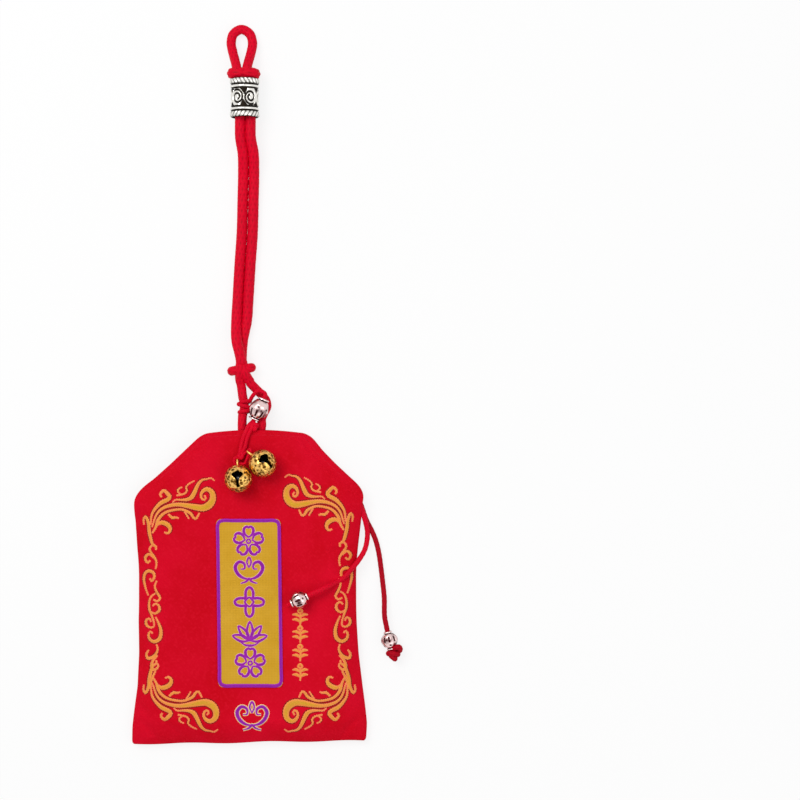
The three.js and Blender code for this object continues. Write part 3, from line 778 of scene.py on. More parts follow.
STRAP_Z = CROWN - CLOTH - CLEARANCE - 1.4
PIVOT_Y = TOP_Y + 2.2
LEFT_X = -2.9
RIGHT_X = 3.9
LEFT_PIVOT = np.array([LEFT_X, PIVOT_Y, STRAP_Z])
RIGHT_PIVOT = np.array([RIGHT_X, PIVOT_Y, STRAP_Z])
HITCH_AT = shifted(LEFT_PIVOT, (0.8, 5.5, -0.5))
KNOT_AT = np.array([LEFT_X - 0.2, PIVOT_Y + 16.9, 2.7])
SWING_AT = (LEFT_X - 0.3, PIVOT_Y + 20.2)
GROUND_Z = 1.6
STRAND_Z = 4.75
BARREL_AT = middle_mm("barrel_bead")
BARREL_LENGTH = 11.8
TOP_KNOT_AT = shifted(middle_mm("top_knot"), (-0.1, -1.15, 0))
LOOP_X = BARREL_AT[0] - 1.15
LOWER_SHARE = 0.85
LOOP_SHARE = 0.88
LOOP_LEAN = 0.03
LOOP_TOP = 13.95
STRAND_APART = 1.55
BEND_REACH = 1.7

LEFT_LOWER = [
    (0.05, 0, 0),
    (0.15, 2.8, -0.3),
    (0.7, 5.6, -0.5),
    (0.1, 8.9, -0.8),
    (-0.25, 11.6, -1.1),
    (-0.8, 14.1, -1.0),
]
RIGHT_LOWER = [
    (-0.8, 0.1, 0),
    (-0.85, 1.9, -0.4),
    (-0.25, 3.5, -0.8),
    (0.7, 5.65, -1.3),
    (0.45, 7.2, -1.6),
    (-0.6, 8.8, -1.75),
    (-2.05, 10.3, -1.75),
    (-3.6, 11.9, -1.4),
    (-5.3, 13.7, -0.9),
]
LEFT_UPPER = [
    (-1.6, 25.8, 4.1),
    (-1.75, 31.8, 2.4),
    (-1.45, 38, GROUND_Z),
    (-0.85, 48.5, GROUND_Z),
    (-0.15, 59, GROUND_Z),
    (0.08, 68.2, GROUND_Z),
    (0.3, 77, 2.1),
    (0.3, 82.5, 3.8),
]
RIGHT_UPPER = [
    (0.1, 25.8, GROUND_Z),
    (1.3, 31.8, GROUND_Z),
    (1.75, 38, GROUND_Z),
    (2.4, 48.5, GROUND_Z),
    (3.12, 59, GROUND_Z),
    (3.35, 68.2, GROUND_Z),
    (3.55, 77, 2.1),
    (3.5, 82.5, 3.8),
]


def lower_route(pivot, steps):
    """From the strap's sewn end under the lip to the lower knot."""
    under = steps[0][0]
    sewn = [(0, -8.5, 0), (0.4 * under, -5.0, 0), (1.2 * under, -1.7, 0)]
    return [shifted(pivot, step) for step in (*sewn, *steps)]


def upper_route(side, start_z, steps):
    """From the lower knot to the top knot, level through the barrel bead."""
    x = BARREL_AT[0] + side * STRAND_APART
    low = BARREL_AT[1] - BARREL_LENGTH / 2
    start = [(SWING_AT[0] + 0.1, SWING_AT[1] - 2.4, start_z), (*SWING_AT, start_z)]
    free = [(LEFT_X + dx, PIVOT_Y + dy, z) for dx, dy, z in steps]
    high = BARREL_AT[1] + BARREL_LENGTH / 2 + 1.2
    level = [(x + 0.25, low - 6), (x + 0.2, low - 0.6), (x, BARREL_AT[1]), (x, high)]
    return [*start, *free, *((*place, STRAND_Z) for place in level)]


def loop_side(side):
    """One leg of the hanging loop, from the top knot towards the table."""
    steps = [(1.3, -0.4, STRAND_Z + 1.2), (1.5, 1.4, STRAND_Z + 0.8), (2.05, 3.9, STRAND_Z - 0.6)]
    steps += [(2.8, 6.9, GROUND_Z + 1.0), (3.25, 9.9, GROUND_Z + 0.2), (2.45, 12.6, GROUND_Z)]
    x = [LOOP_X + side * dx + LOOP_LEAN * (12.6 - dy) for dx, dy, _ in steps]
    return [(across, TOP_KNOT_AT[1] + dy, z) for across, (_, dy, z) in zip(x, steps)]


def knot_bar(centre, half_length, tilt, rise):
    """The turn of cord that lies across a knot: over the front, round the end and back behind."""
    way = heading(tilt)
    shares = [(0, -1), (0.65, -1), (1, 0), (0.65, 1), (0, 1.05), (-0.65, 1), (-1, 0), (-0.65, -1), (0, -1)]
    return [shifted(centre, way * half_length * share, (0, 0, rise * up)) for share, up in shares]


class POUCH_OT_strap(bpy.types.Operator):
    """Makes the braided strap: its lower strands, both knots, the upper strands and the hanging loop"""

    bl_idname = "pouch.strap"
    bl_label = "Strap"

    def execute(self, context):
        width = size("strap")
        for side, pivot, steps in (("left", LEFT_PIVOT, LEFT_LOWER), ("right", RIGHT_PIVOT, RIGHT_LOWER)):
            shape, _ = tube(lower_route(pivot, steps), width * LOWER_SHARE)
            made = piece(f"strap_{side}_lower_cord", [shape], strap_braid())
            start = (0, PIVOT_Y - BEND_REACH, STRAP_Z)
            end = (0, PIVOT_Y + BEND_REACH, STRAP_Z)
            nodes = (f"strap_{side}_lower", f"strap_{side}_end")
            bend(made, "pouch", "strap_base", start, end, "strap_cord", *nodes)
        self.make_lower_knot(width)
        top_knot = self.make_top_knot(width)
        for side, sign, start_z, steps in (("left", -1, 4.7, LEFT_UPPER), ("right", 1, 1.6, RIGHT_UPPER)):
            shape, line = tube(upper_route(sign, start_z, steps), width)
            made = piece(f"strap_{side}_cord", [shape], strap_braid())
            start = (SWING_AT[0], SWING_AT[1] - 2.4, 3)
            end = (SWING_AT[0], SWING_AT[1] + 5, 3)
            bend(made, "strap_base", "strap", start, end, "strap_cord", f"strap_{side}_strand")
        return {"FINISHED"}

    def make_lower_knot(self, width):
        bar, _ = tube(knot_bar(KNOT_AT, 3.05, 10.0, 1.0), width * 0.87)
        over_left = [(-3.3, 61.6, 2.4), (-3.55, 63.8, 2.9), (-3.45, 66.0, 4.1)]
        over_left += [(-3.3, 68.0, 4.3), (-3.2, 69.6, 3.0)]
        over_right = [(0.2, 62.0, 2.0), (-1.2, 63.8, 2.8), (-2.1, 65.8, 4.0)]
        over_right += [(-2.6, 68.0, 3.8), (-3.0, 69.4, 2.0)]
        wraps = [tube(route, width * 0.92)[0] for route in (over_left, over_right)]
        made = piece("strap_lower_knot", [bar, *wraps], strap_braid())
        dress(made, "strap_base", "strap_cord", "lower_knot")

    def make_top_knot(self, width):
        bar, _ = tube(knot_bar(TOP_KNOT_AT, 3.3, -1.5, 0.9), width * 1.12)
        made = piece("strap_top_knot", [bar], strap_braid())
        dress(made, "strap", "strap_cord", "top_knot")
        top = (LOOP_X, TOP_KNOT_AT[1] + LOOP_TOP, GROUND_Z)
        route = [*loop_side(-1), top, *loop_side(1)[::-1]]
        shape, line = tube(route, width * LOOP_SHARE)
        loop = piece("strap_hanging_loop", [shape], strap_braid())
        dress(loop, "strap", "strap_cord", "hanging_loop")
        return made


# Drawstring

TAIL_RADIUS = 0.7
SIDE_EXIT = np.array([32.2, TOP_Y - 19.6, 1.65])
FRONT_EXIT = np.array([32.4, TOP_Y - 20.3, 3.0])
SIDE_BEND_START = (33.4, 24.9, 1.6)
SIDE_BEND_END = (36.6, 17.2, 0.9)
CASING_DROP = 8.2
CASING_PITCH = 2.4
CASING_REACH = 29.0
SIDE_HEADING = -78
FRONT_HEADING = 25
SIDE_BEAD_AT = shifted(middle_mm("side_tail_bead"), (-0.2, -0.95, 0))
FRONT_BEAD_AT = middle_mm("front_tail_bead")
BEAD_LENGTH = 5.6
FRONT_KNOT_AT = shifted(FRONT_BEAD_AT, heading(FRONT_HEADING) * (-BEAD_LENGTH / 2 - 1.0))
TABLE_Z = TAIL_RADIUS + 0.2


def casing_z(x, y):
    """Height of the drawstring's middle, just under the front cloth."""
    return front_inside(x, y) - CLEARANCE - TAIL_RADIUS - 0.1


def casing_run(middle_y, exit_point):
    """One pass of the drawstring across the pouch, from its exit at the right."""
    right, exit_y = exit_point[:2]
    x = np.linspace(right - 2, -CASING_REACH, 11)
    y = middle_y - (middle_y - exit_y) * (x / right) ** 2
    return np.vstack([exit_point, np.column_stack([x, y, casing_z(x, y)])])


def over_front(point):
    """A point of the tail where it lies on the front cloth."""
    x, y = point[:2]
    share, even_y = even_place(x, y)
    return np.array([x, y, front_inside(share * half_width(even_y), even_y) + CLOTH + TAIL_RADIUS + 0.1])


def side_tail_route():
    """From its exit down to the table, then through its bead."""
    way = heading(SIDE_HEADING)
    return [
        SIDE_EXIT,
        SIDE_BEND_START,
        (34.9, 20.6, 0.95),
        SIDE_BEND_END,
        (37.8, 14.2, TABLE_Z),
        (38.7, 10.5, TABLE_Z),
        (39.35, 6.0, TABLE_Z),
        (39.85, 1.8, TABLE_Z),
        (40.35, -3.0, TABLE_Z + 0.6),
        shifted(SIDE_BEAD_AT, way * -7.6, (0.1, 0, 0)),
        shifted(SIDE_BEAD_AT, way * -4.4),
        SIDE_BEAD_AT,
        shifted(SIDE_BEAD_AT, way * (BEAD_LENGTH / 2 + 0.6)),
    ]


def front_tail_route():
    """Out past the edge, back over the front cloth and through its bead."""
    way = heading(FRONT_HEADING)
    return [
        FRONT_EXIT,
        (33.5, 24.0, 3.0),
        (34.6, 20.35, 2.4),
        (35.2, 17.3, 1.75),
        (35.1, 14.55, 1.7),
        (34.4, 11.65, 2.4),
        over_front((32.6, 8.6)),
        over_front((30.5, 6.0)),
        over_front((28.0, 3.3)),
        over_front(shifted(FRONT_BEAD_AT, way * 12.5)),
        shifted(FRONT_BEAD_AT, way * 9, (0, 0, -0.5)),
        shifted(FRONT_BEAD_AT, way * 7),
        shifted(FRONT_BEAD_AT, way * 3),
        FRONT_BEAD_AT,
        FRONT_KNOT_AT,
    ]


class POUCH_OT_drawstring(bpy.types.Operator):
    """Makes the drawstring: doubled through the hem of the mouth, with two tails and end knots"""

    bl_idname = "pouch.drawstring"
    bl_label = "Drawstring"

    def execute(self, context):
        width = size("tail")
        self.make_cased(width)
        knot = self.make_side_knot(width)
        shape, line = tube(side_tail_route(), width, carriers=6)
        tail = piece("drawstring_side_tail_cord", [shape], drawstring_braid())
        bend(tail, "pouch", "side_tail", SIDE_BEND_START, SIDE_BEND_END, "thin_cord", "drawstring_side_tail")
        knot = self.make_front_knot(width)
        shape, line = tube(front_tail_route(), width, carriers=6)
        # The front tail is the same drawstring cord in the bright strap braid; the drawstring's darker braid
        # elsewhere is painted shade
        tail = piece("drawstring_front_tail_cord", [shape], strap_braid())
        dress(tail, "pouch", "thin_cord", "drawstring_front_tail")
        return {"FINISHED"}

    def make_cased(self, width):
        outer = casing_run(TOP_Y - CASING_DROP, SIDE_EXIT)
        inner = casing_run(TOP_Y - CASING_DROP - CASING_PITCH, FRONT_EXIT)
        turn_x = -CASING_REACH - CASING_PITCH / 2
        turn_y = (outer[-1][1] + inner[-1][1]) / 2
        turn = (turn_x, turn_y, casing_z(turn_x, turn_y))
        route = [*outer, turn, *inner[::-1]]
        shape, _ = tube(route, width, carriers=6)
        made = piece("drawstring_in_hem", [shape], drawstring_braid())
        dress(made, "pouch", "thin_cord", "drawstring_cased")

    def make_side_knot(self, width):
        """An overhand knot below the bead, with its cut end pointing down and to the left."""
        way = heading(SIDE_HEADING)
        side = heading(SIDE_HEADING + 90)
        middle = shifted(SIDE_BEAD_AT, way * (BEAD_LENGTH / 2 + 1.2), side * 0.5)
        turns = [(-1.3, -0.4, 0.0), (-1.6, 1.9, 1.5), (-0.5, 2.0, 0.2), (-0.1, 0.0, -1.0), (-0.2, -1.6, 0.0)]
        turns += [(0.1, 0.0, 1.1), (0.6, 1.1, 0.3), (0.8, 0.2, -0.8), (0.7, -0.9, -0.2), (1.2, -0.4, 0.6)]
        turns += [(2.4, 0.4, 0.1)]
        route = [shifted(middle, way * a, side * b, (0, 0, c)) for a, b, c in turns]
        shape, _ = tube(route, width * 1.1, carriers=6)
        made = piece("drawstring_side_knot", [shape], drawstring_braid())
        return dress(made, "side_tail", "thin_cord", "side_tail_knot")

    def make_front_knot(self, width):
        way = heading(FRONT_HEADING)
        side = heading(FRONT_HEADING + 90)
        turns = [(0.4, 0.0, 0.0), (0.2, 0.4, 0.2), (-0.1, 0.0, 0.4)]
        turns += [(-0.1, -0.4, 0.0), (0.1, 0.0, -0.4), (-0.4, 0.1, -0.2)]
        route = [shifted(FRONT_KNOT_AT, way * a, side * b, (0, 0, c)) for a, b, c in turns]
        shape, _ = tube(route, width * 0.6, carriers=6)
        made = piece("drawstring_front_knot", [shape], strap_braid())
        return dress(made, "pouch", "thin_cord", "front_tail_knot")


# Charm cord

CHARM_BEAD_AT = shifted(middle_mm("charm_bead"), (0.35, -0.3, 0))
CHARM_BEAD_LENGTH = 7.0
CHARM_HEADING = 65
CHARM_KNOT_AT = shifted(middle_mm("charm_knot"), (-0.2, -1.7, 0.2))
BELL_RADIUS = 4.3
BELL_EYE_REACH = 0.5
CHARM_SPREAD = 0.48
CHARM_LOOP_SHARE = 0.7
STOPPER_REACH = 0.33
BELLS = {
    "left_bell": {"at": (-3.5, TOP_Y - 13.88), "eye": 94, "tilt": 24.5, "roll": 0},
    "right_bell": {"at": (3.83, TOP_Y - 9.35), "eye": 142, "tilt": 14.5, "roll": 24},
}


def bell_matrix(name, roll):
    """How a bell lies on the front cloth, with its eye along +Y and its keyhole along +Z before."""
    bell = BELLS[name]
    turn = Matrix.Rotation(math.radians(bell["eye"] - 90), 4, "Z")
    turn @= Matrix.Rotation(math.radians(-bell["tilt"]), 4, "X")
    turn @= Matrix.Rotation(math.radians(roll), 4, "Y")
    return Matrix.Translation((*bell["at"], CROWN + CLEARANCE + BELL_RADIUS)) @ turn


def eye_at(name):
    """Middle of a bell's wire eye."""
    return np.array(bell_matrix(name, 0) @ Vector((0, BELL_RADIUS + BELL_EYE_REACH, 0)))


def charm_route():
    """From the hitch through the bead, over the front lip and down to the charm's knot."""
    way = heading(CHARM_HEADING)
    return [
        shifted(HITCH_AT, (1.5, 1.5, 1.2)),
        shifted(HITCH_AT, (2.6, 3.4, 2.0)),
        shifted(HITCH_AT, (4.2, 4.9, 2.3)),
        shifted(CHARM_BEAD_AT, way * 5.2, (-0.3, 0, 0)),
        shifted(CHARM_BEAD_AT, way * (CHARM_BEAD_LENGTH / 2 + 0.5)),
        CHARM_BEAD_AT,
        shifted(CHARM_BEAD_AT, way * (-CHARM_BEAD_LENGTH / 2 - 0.3)),
        *lip_run(-CHARM_SPREAD * size("charm")),
    ]


def lip_run(side):
    """The charm cord from its bead over the lip to its knot, a little to one side."""
    on_lip = CROWN + 0.1 + size("charm") / 2
    return [
        (LEFT_X + 2.8 + side, TOP_Y + 2.0, on_lip - 0.1),
        (LEFT_X + 2.1 + side, TOP_Y + 0.4, on_lip),
        (LEFT_X + 1.2 + side, TOP_Y - 1.6, on_lip),
        (LEFT_X + 0.5 + side, TOP_Y - 4.6, on_lip + 0.2),
        shifted(CHARM_KNOT_AT, (side * 0.5, 0.6, 0.1)),
    ]


def stopper_route():
    """One closed round of an overhand knot, just below the charm's bead."""
    middle = shifted(CHARM_BEAD_AT, (-1.4, -5.3, 1.2))
    turn = np.linspace(0, math.tau, 40)
    across = np.sin(turn) + 2 * np.sin(2 * turn)
    along = np.cos(turn) - 2 * np.cos(2 * turn)
    steps = np.column_stack([across, along, -np.sin(3 * turn)])
    return [shifted(middle, step) for step in steps * STOPPER_REACH]


def charm_loop_route():
    """From the charm's knot through both bells' eyes and back."""
    left, right = eye_at("left_bell"), eye_at("right_bell")
    right_way = heading(BELLS["right_bell"]["eye"] - 90)
    right_out = heading(BELLS["right_bell"]["eye"])
    left_way = heading(BELLS["left_bell"]["eye"] - 90)
    return [
        shifted(CHARM_KNOT_AT, (0.6, 0.3, 0.3)),
        shifted(right, right_way, right_out, (0, 0, -0.2)),
        shifted(right, right_way * 0.6, right_out * 0.5),
        shifted(right, right_out * 0.25),
        shifted(right, right_way * -0.7, right_out * 0.3),
        shifted(left, (2.0, 0.1, 0.2)),
        shifted(left, left_way * 0.8),
        left,
        shifted(left, left_way * -0.8),
        shifted(left, (-1.0, 1.6, -0.1)),
        shifted(CHARM_KNOT_AT, (-0.6, -0.2, 0.3)),
    ]


class POUCH_OT_charm_cord(bpy.types.Operator):
    """Makes the thin cord that carries the bells: hitch, run over the lip, knot and loop"""

    bl_idname = "pouch.charm_cord"
    bl_label = "Charm cord"

    def execute(self, context):
        width = size("charm")
        self.make_hitch(width)
        first, _ = tube(charm_route(), width, carriers=6)
        beside = shifted(CHARM_BEAD_AT, heading(CHARM_HEADING) * (-CHARM_BEAD_LENGTH / 2 + 0.2))
        second, _ = tube([beside, *lip_run(width * CHARM_SPREAD)], width, carriers=6)
        stopper, _ = tube(stopper_route(), width, carriers=6, round_ends=False)
        run = piece("charm_cord_run", [first, second, stopper], strap_braid())
        start = (0, TOP_Y + 0.2, CROWN)
        end = (0, TOP_Y + 4.0, CROWN)
        bend(run, "pouch", "strap_base", start, end, "thin_cord", "charm_cord_upper", "charm_cord_front")
        turns = [(0, 1.2, 0.1), (0.6, 0.5, 0.3), (0.3, -0.4, 0.6), (-0.6, -0.5, 0.1), (-0.3, 0.4, -0.5)]
        turns += [(0.6, 0.1, 0.0), (0.2, -0.5, 0.5), (-0.5, 0.2, 0.4), (0.0, 0.8, -0.2)]
        shape, _ = tube([shifted(CHARM_KNOT_AT, turn) for turn in turns], width, carriers=6)
        dress(piece("charm_cord_knot", [shape], strap_braid()), "pouch", "thin_cord", "charm_knot")
        shape, _ = tube(charm_loop_route(), width * CHARM_LOOP_SHARE, carriers=6)
        dress(piece("charm_cord_loop", [shape], strap_braid()), "pouch", "thin_cord", "charm_loop")
        return {"FINISHED"}

    def make_hitch(self, width):
        """Turns of the charm cord round the left strand."""
        turns = 2.3
        angle = np.linspace(0, math.tau * turns, 46) + 0.5
        reach = size("strap") * LOWER_SHARE / 2 + width * 0.3
        rise = 1.5 * (2 * smoothstep(np.linspace(-0.55, 1.55, len(angle))) - 1)
        coil = np.column_stack([reach * np.cos(angle), rise, reach * np.sin(angle)])
        turn = Matrix.Translation(HITCH_AT) @ Matrix.Rotation(math.radians(6), 4, "Z")
        turn @= Matrix.Rotation(math.radians(-7), 4, "X")
        shape, _ = tube(coil, width, carriers=6)
        made = piece("charm_cord_hitch", [moved(shape, turn)], strap_braid())
        dress(made, "strap_base", "thin_cord", "charm_hitch")


# Cloth panels

SIM_SCALE = 0.02
SIM_COLUMNS = 57
SIM_ROWS = 78
SIM_FRAMES = 20
SIM_CAP = 0.9
EDGE_STEPS = (0.0, 0.05, 0.14, 0.28, 0.5)
SEAM_REACH = 2.5
HEM_DEPTH = 1.5
HEM_REACH = 28.0
STITCH = 1.6
STITCH_GAP = 0.5
surfaces = {}


class Surface:
    """Heights of a cloth panel over shares of its width and height."""

    def __init__(self, across, up, heights):
        self.across = across
        self.up = up
        self.heights = heights

    def at(self, x, y):
        """Height of the surface at points of the plan."""
        u, even_y = even_place(np.asarray(x, float), np.asarray(y, float))
        v = (even_y - BOTTOM_Y) / POUCH_HEIGHT
        j = np.clip(np.searchsorted(self.across, u) - 1, 0, len(self.across) - 2)
        i = np.clip(np.searchsorted(self.up, v) - 1, 0, len(self.up) - 2)
        a = (u - self.across[j]) / (self.across[j + 1] - self.across[j])
        b = (v - self.up[i]) / (self.up[i + 1] - self.up[i])
        low = self.heights[i, j] * (1 - a) + self.heights[i, j + 1] * a
        high = self.heights[i + 1, j] * (1 - a) + self.heights[i + 1, j + 1] * a
        return low * (1 - b) + high * b


def shares(count, length):
    """Shares from 0 to 1, closer together near both ends."""
    edge = np.array(EDGE_STEPS) / length
    inner = np.linspace(edge[-1], 1 - edge[-1], count)
    return np.concatenate([edge[:-1], inner, 1 - edge[:-1][::-1]])


def even_plan(across, up):
    """Places of the even cut for shares across from -1 to 1 and shares up from 0 to 1."""
    y = np.repeat((BOTTOM_Y + POUCH_HEIGHT * up)[:, None], len(across), axis=1)
    return half_width(y) * across[None, :], y


def settled_plan(across, up):
    """Places of the settled cloth for the same shares."""
    _, y = even_plan(across, up)
    left, right = edges(y)
    x = (left + right) / 2 + (right - left) / 2 * across[None, :]
    return x, y + settled_rise(across[None, :], y)


def settle(points, faces, hold):
    """Lets the front cloth settle over its filling, and gives its points back."""
    sizes = bpy.context.scene.pouch_sizes
    mesh = bpy.data.meshes.new("settling")
    mesh.from_pydata((points * SIM_SCALE).tolist(), [], faces)
    sheet = bpy.data.objects.new("settling", mesh)
    bpy.context.scene.collection.objects.link(sheet)
    group = sheet.vertex_groups.new(name="hold")
    for index, weight in enumerate(hold):
        group.add([index], float(weight), "REPLACE")
    cloth = sheet.modifiers.new("cloth", "CLOTH")
    settings = cloth.settings
    settings.quality = 6
    settings.mass = 0.3
    settings.tension_stiffness = 20
    settings.compression_stiffness = 20
    settings.shear_stiffness = 6
    settings.bending_stiffness = 0.4
    settings.vertex_group_mass = "hold"
    settings.shrink_min = -sizes.slack
    settings.use_pressure = True
    settings.uniform_pressure_force = sizes.fill
    settings.effector_weights.gravity = 0
    cloth.collision_settings.use_collision = False
    cloth.point_cache.frame_start = 1
    cloth.point_cache.frame_end = SIM_FRAMES
    for step in range(1, SIM_FRAMES + 1):
        bpy.context.scene.frame_set(step)
    settled = sheet.evaluated_get(bpy.context.evaluated_depsgraph_get()).data
    found = np.zeros(len(points) * 3, np.float32)
    settled.vertices.foreach_get("co", found)
    bpy.context.scene.frame_set(1)
    bpy.data.objects.remove(sheet)
    bpy.data.meshes.remove(mesh)
    return found.reshape(-1, 3).astype(float) / SIM_SCALE


def front_lift(across, up):
    """How far the simulated front cloth lies from its plain shape, over a panel's shares."""
    u = np.linspace(-1, 1, SIM_COLUMNS)
    v = np.linspace(0, 1, SIM_ROWS)
    x, y = even_plan(u, v)
    z = front_inside(x, y) + CLOTH / 2
    rows = np.dstack([*settled_plan(u, v), z])
    sewn = np.minimum(from_side(x, y), y - BOTTOM_Y)
    lip = np.clip(1 - from_mouth(x, y) / 2.5, 0, 1) * 0.85
    low, high = box_mm("front_label")
    under_label = (x > low[0]) & (x < high[0]) & (y > low[1]) & (y < high[1])
    hold = np.maximum(np.clip(1 - sewn / 1.2, 0, 1), np.maximum(lip, under_label * 0.5))
    net = patch(rows, v, u)
    settled = settle(net["points"], net["faces"], hold.ravel()).reshape(rows.shape)
    lift = np.clip(settled[:, :, 2] - z, -SIM_CAP, SIM_CAP)
    columns = np.array([np.interp(across, u, row) for row in lift])
    return np.array([np.interp(up, v, column) for column in columns.T]).T


def slab(top, bottom, up, across):
    """A closed sheet between an upper and a lower net of points."""
    rows = np.concatenate([top, bottom[:, ::-1]], axis=1)
    return patch(rows, up, np.concatenate([across, across[::-1], across[:1]]), wrap=True)


def close_ends(shape, count, width):
    """Closes the first and last row of a slab with faces between its two nets."""
    ring = 2 * width
    for row, flip in ((0, False), (count - 1, True)):
        base = row * ring
        for k in range(width - 1):
            face = [base + k, base + ring - 1 - k, base + ring - 2 - k, base + k + 1]
            shape["faces"].append(face[::-1] if flip else face)
    extra = 2 * (width - 1) * 4
    shape["uvs"] = np.vstack([shape["uvs"], np.zeros((extra, 2))])
    return shape


class POUCH_OT_cloth(bpy.types.Operator):
    """Makes the front and back cloth, sewn together at the sides and the bottom, with a stitched mouth"""

    bl_idname = "pouch.cloth"
    bl_label = "Cloth"

    def execute(self, context):
        across = shares(110, POUCH_WIDTH) * 2 - 1
        up = shares(150, POUCH_HEIGHT)
        x, y = even_plan(across, up)
        edge = np.minimum((1 - np.abs(across[None, :])) * half_width(y), np.minimum(y - BOTTOM_Y, TOP_Y - y))
        near = np.clip(edge / (CLOTH / 2), 0, 1)
        half = CLOTH / 2 * np.sqrt(np.maximum(1 - (1 - near) ** 2, 0.002))
        mouth = from_mouth(x, y)
        hem = 0.16 * np.exp(-(((mouth - 0.8) / 0.8) ** 2)) - 0.2 * np.exp(-(((mouth - 2.1) / 0.4) ** 2))
        sewn = smoothstep(1 - np.minimum(from_side(x, y), y - BOTTOM_Y) / SEAM_REACH)
        drawn = sewn * (CLOTH / 2 - half + CLEARANCE / 2)
        middle = front_inside(x, y) + CLOTH / 2 - drawn + front_lift(across, up)
        top = np.minimum(middle + half + hem * (near > 0.99), CROWN)
        self.make_panel("front_cloth", top, np.minimum(middle, top - half) - half, across, up, "front_panel")
        surfaces["front"] = Surface(across, up, top)
        self.stitch_hem()
        lift = back_outside(x, y) + CLOTH / 2 + drawn
        self.make_panel("back_cloth", lift + half, lift - half, across, up, "back_panel")
        return {"FINISHED"}

    def stitch_hem(self):
        """Sews the hem of the front's mouth with a row of short stitches."""
        x = np.linspace(-HEM_REACH, HEM_REACH, 400)
        y = TOP_Y - np.maximum(np.abs(x) - TOP_EDGE_WIDTH / 2, 0) / MOUTH_SLOPE - HEM_DEPTH
        left, right = edges(y)
        share = x / half_width(y)
        line = np.column_stack([(left + right) / 2 + (right - left) / 2 * share, y + settled_rise(share, y)])
        travel = distances(line)
        stitches = []
        for start in np.arange(0, travel[-1] - STITCH, STITCH + STITCH_GAP):
            stops = np.linspace(start, start + STITCH, 4)
            points = np.column_stack([np.interp(stops, travel, line[:, k]) for k in (0, 1)])
            stitches.append(run_of(points, (0.18, 0.24, 0.18), on_front, 0.08))
        dress(piece("hem_stitches", stitches, sewing_thread()), "pouch", "brocade")

    def make_panel(self, name, top, bottom, across, up, node):
        x, y = settled_plan(across, up)
        upper = np.dstack([x, y, top])
        lower = np.dstack([x, y, bottom])
        shape = close_ends(slab(upper, lower, up, across), len(up), len(across))
        made = piece(name, [shape], red_brocade())
        dress(made, "pouch", "brocade", node)


# Woven ornament


def run_of(points, widths, base, height, step=0.2, serration=0.0):
    """A floated run of thread along a path on a surface: thin at its edges and full in the middle."""
    line = smooth_route(points, step)
    travel = distances(line)
    width = np.interp(travel / travel[-1], np.linspace(0, 1, len(widths)), widths)
    tangent = np.gradient(line, axis=0)
    tangent /= np.linalg.norm(tangent, axis=1)[:, None]
    side = np.column_stack([tangent[:, 1], -tangent[:, 0]])
    across = np.array([-1.0, -0.85, -0.5, 0.0, 0.5, 0.85, 1.0])
    rough = width / 2 + serration * (np.arange(len(line)) % 2)
    xy = line[:, None, :] + side[:, None, :] * (across[None, :] * rough[:, None])[:, :, None]
    full = np.sqrt(np.maximum(1 - across**2, 0))
    tall = height * np.clip(width / 0.9, 0.35, 1.0)
    z = base(xy[:, :, 0], xy[:, :, 1]) + full[None, :] * tall[:, None]
    under = np.stack([xy[:, -1], xy[:, 0]], axis=1)
    under_z = base(under[:, :, 0], under[:, :, 1]) - 0.12
    rows = np.concatenate([np.dstack([xy, z]), np.dstack([under, under_z])], axis=1)
    within = (1 - np.abs([*across, 1.0, -1.0, -1.0]))[None, :] * (width / 2)[:, None]
    return patch(rows, travel, within, wrap=True, caps=True)


def on_front(x, y):
    """Height of the front cloth."""
    return surfaces["front"].at(x, y)


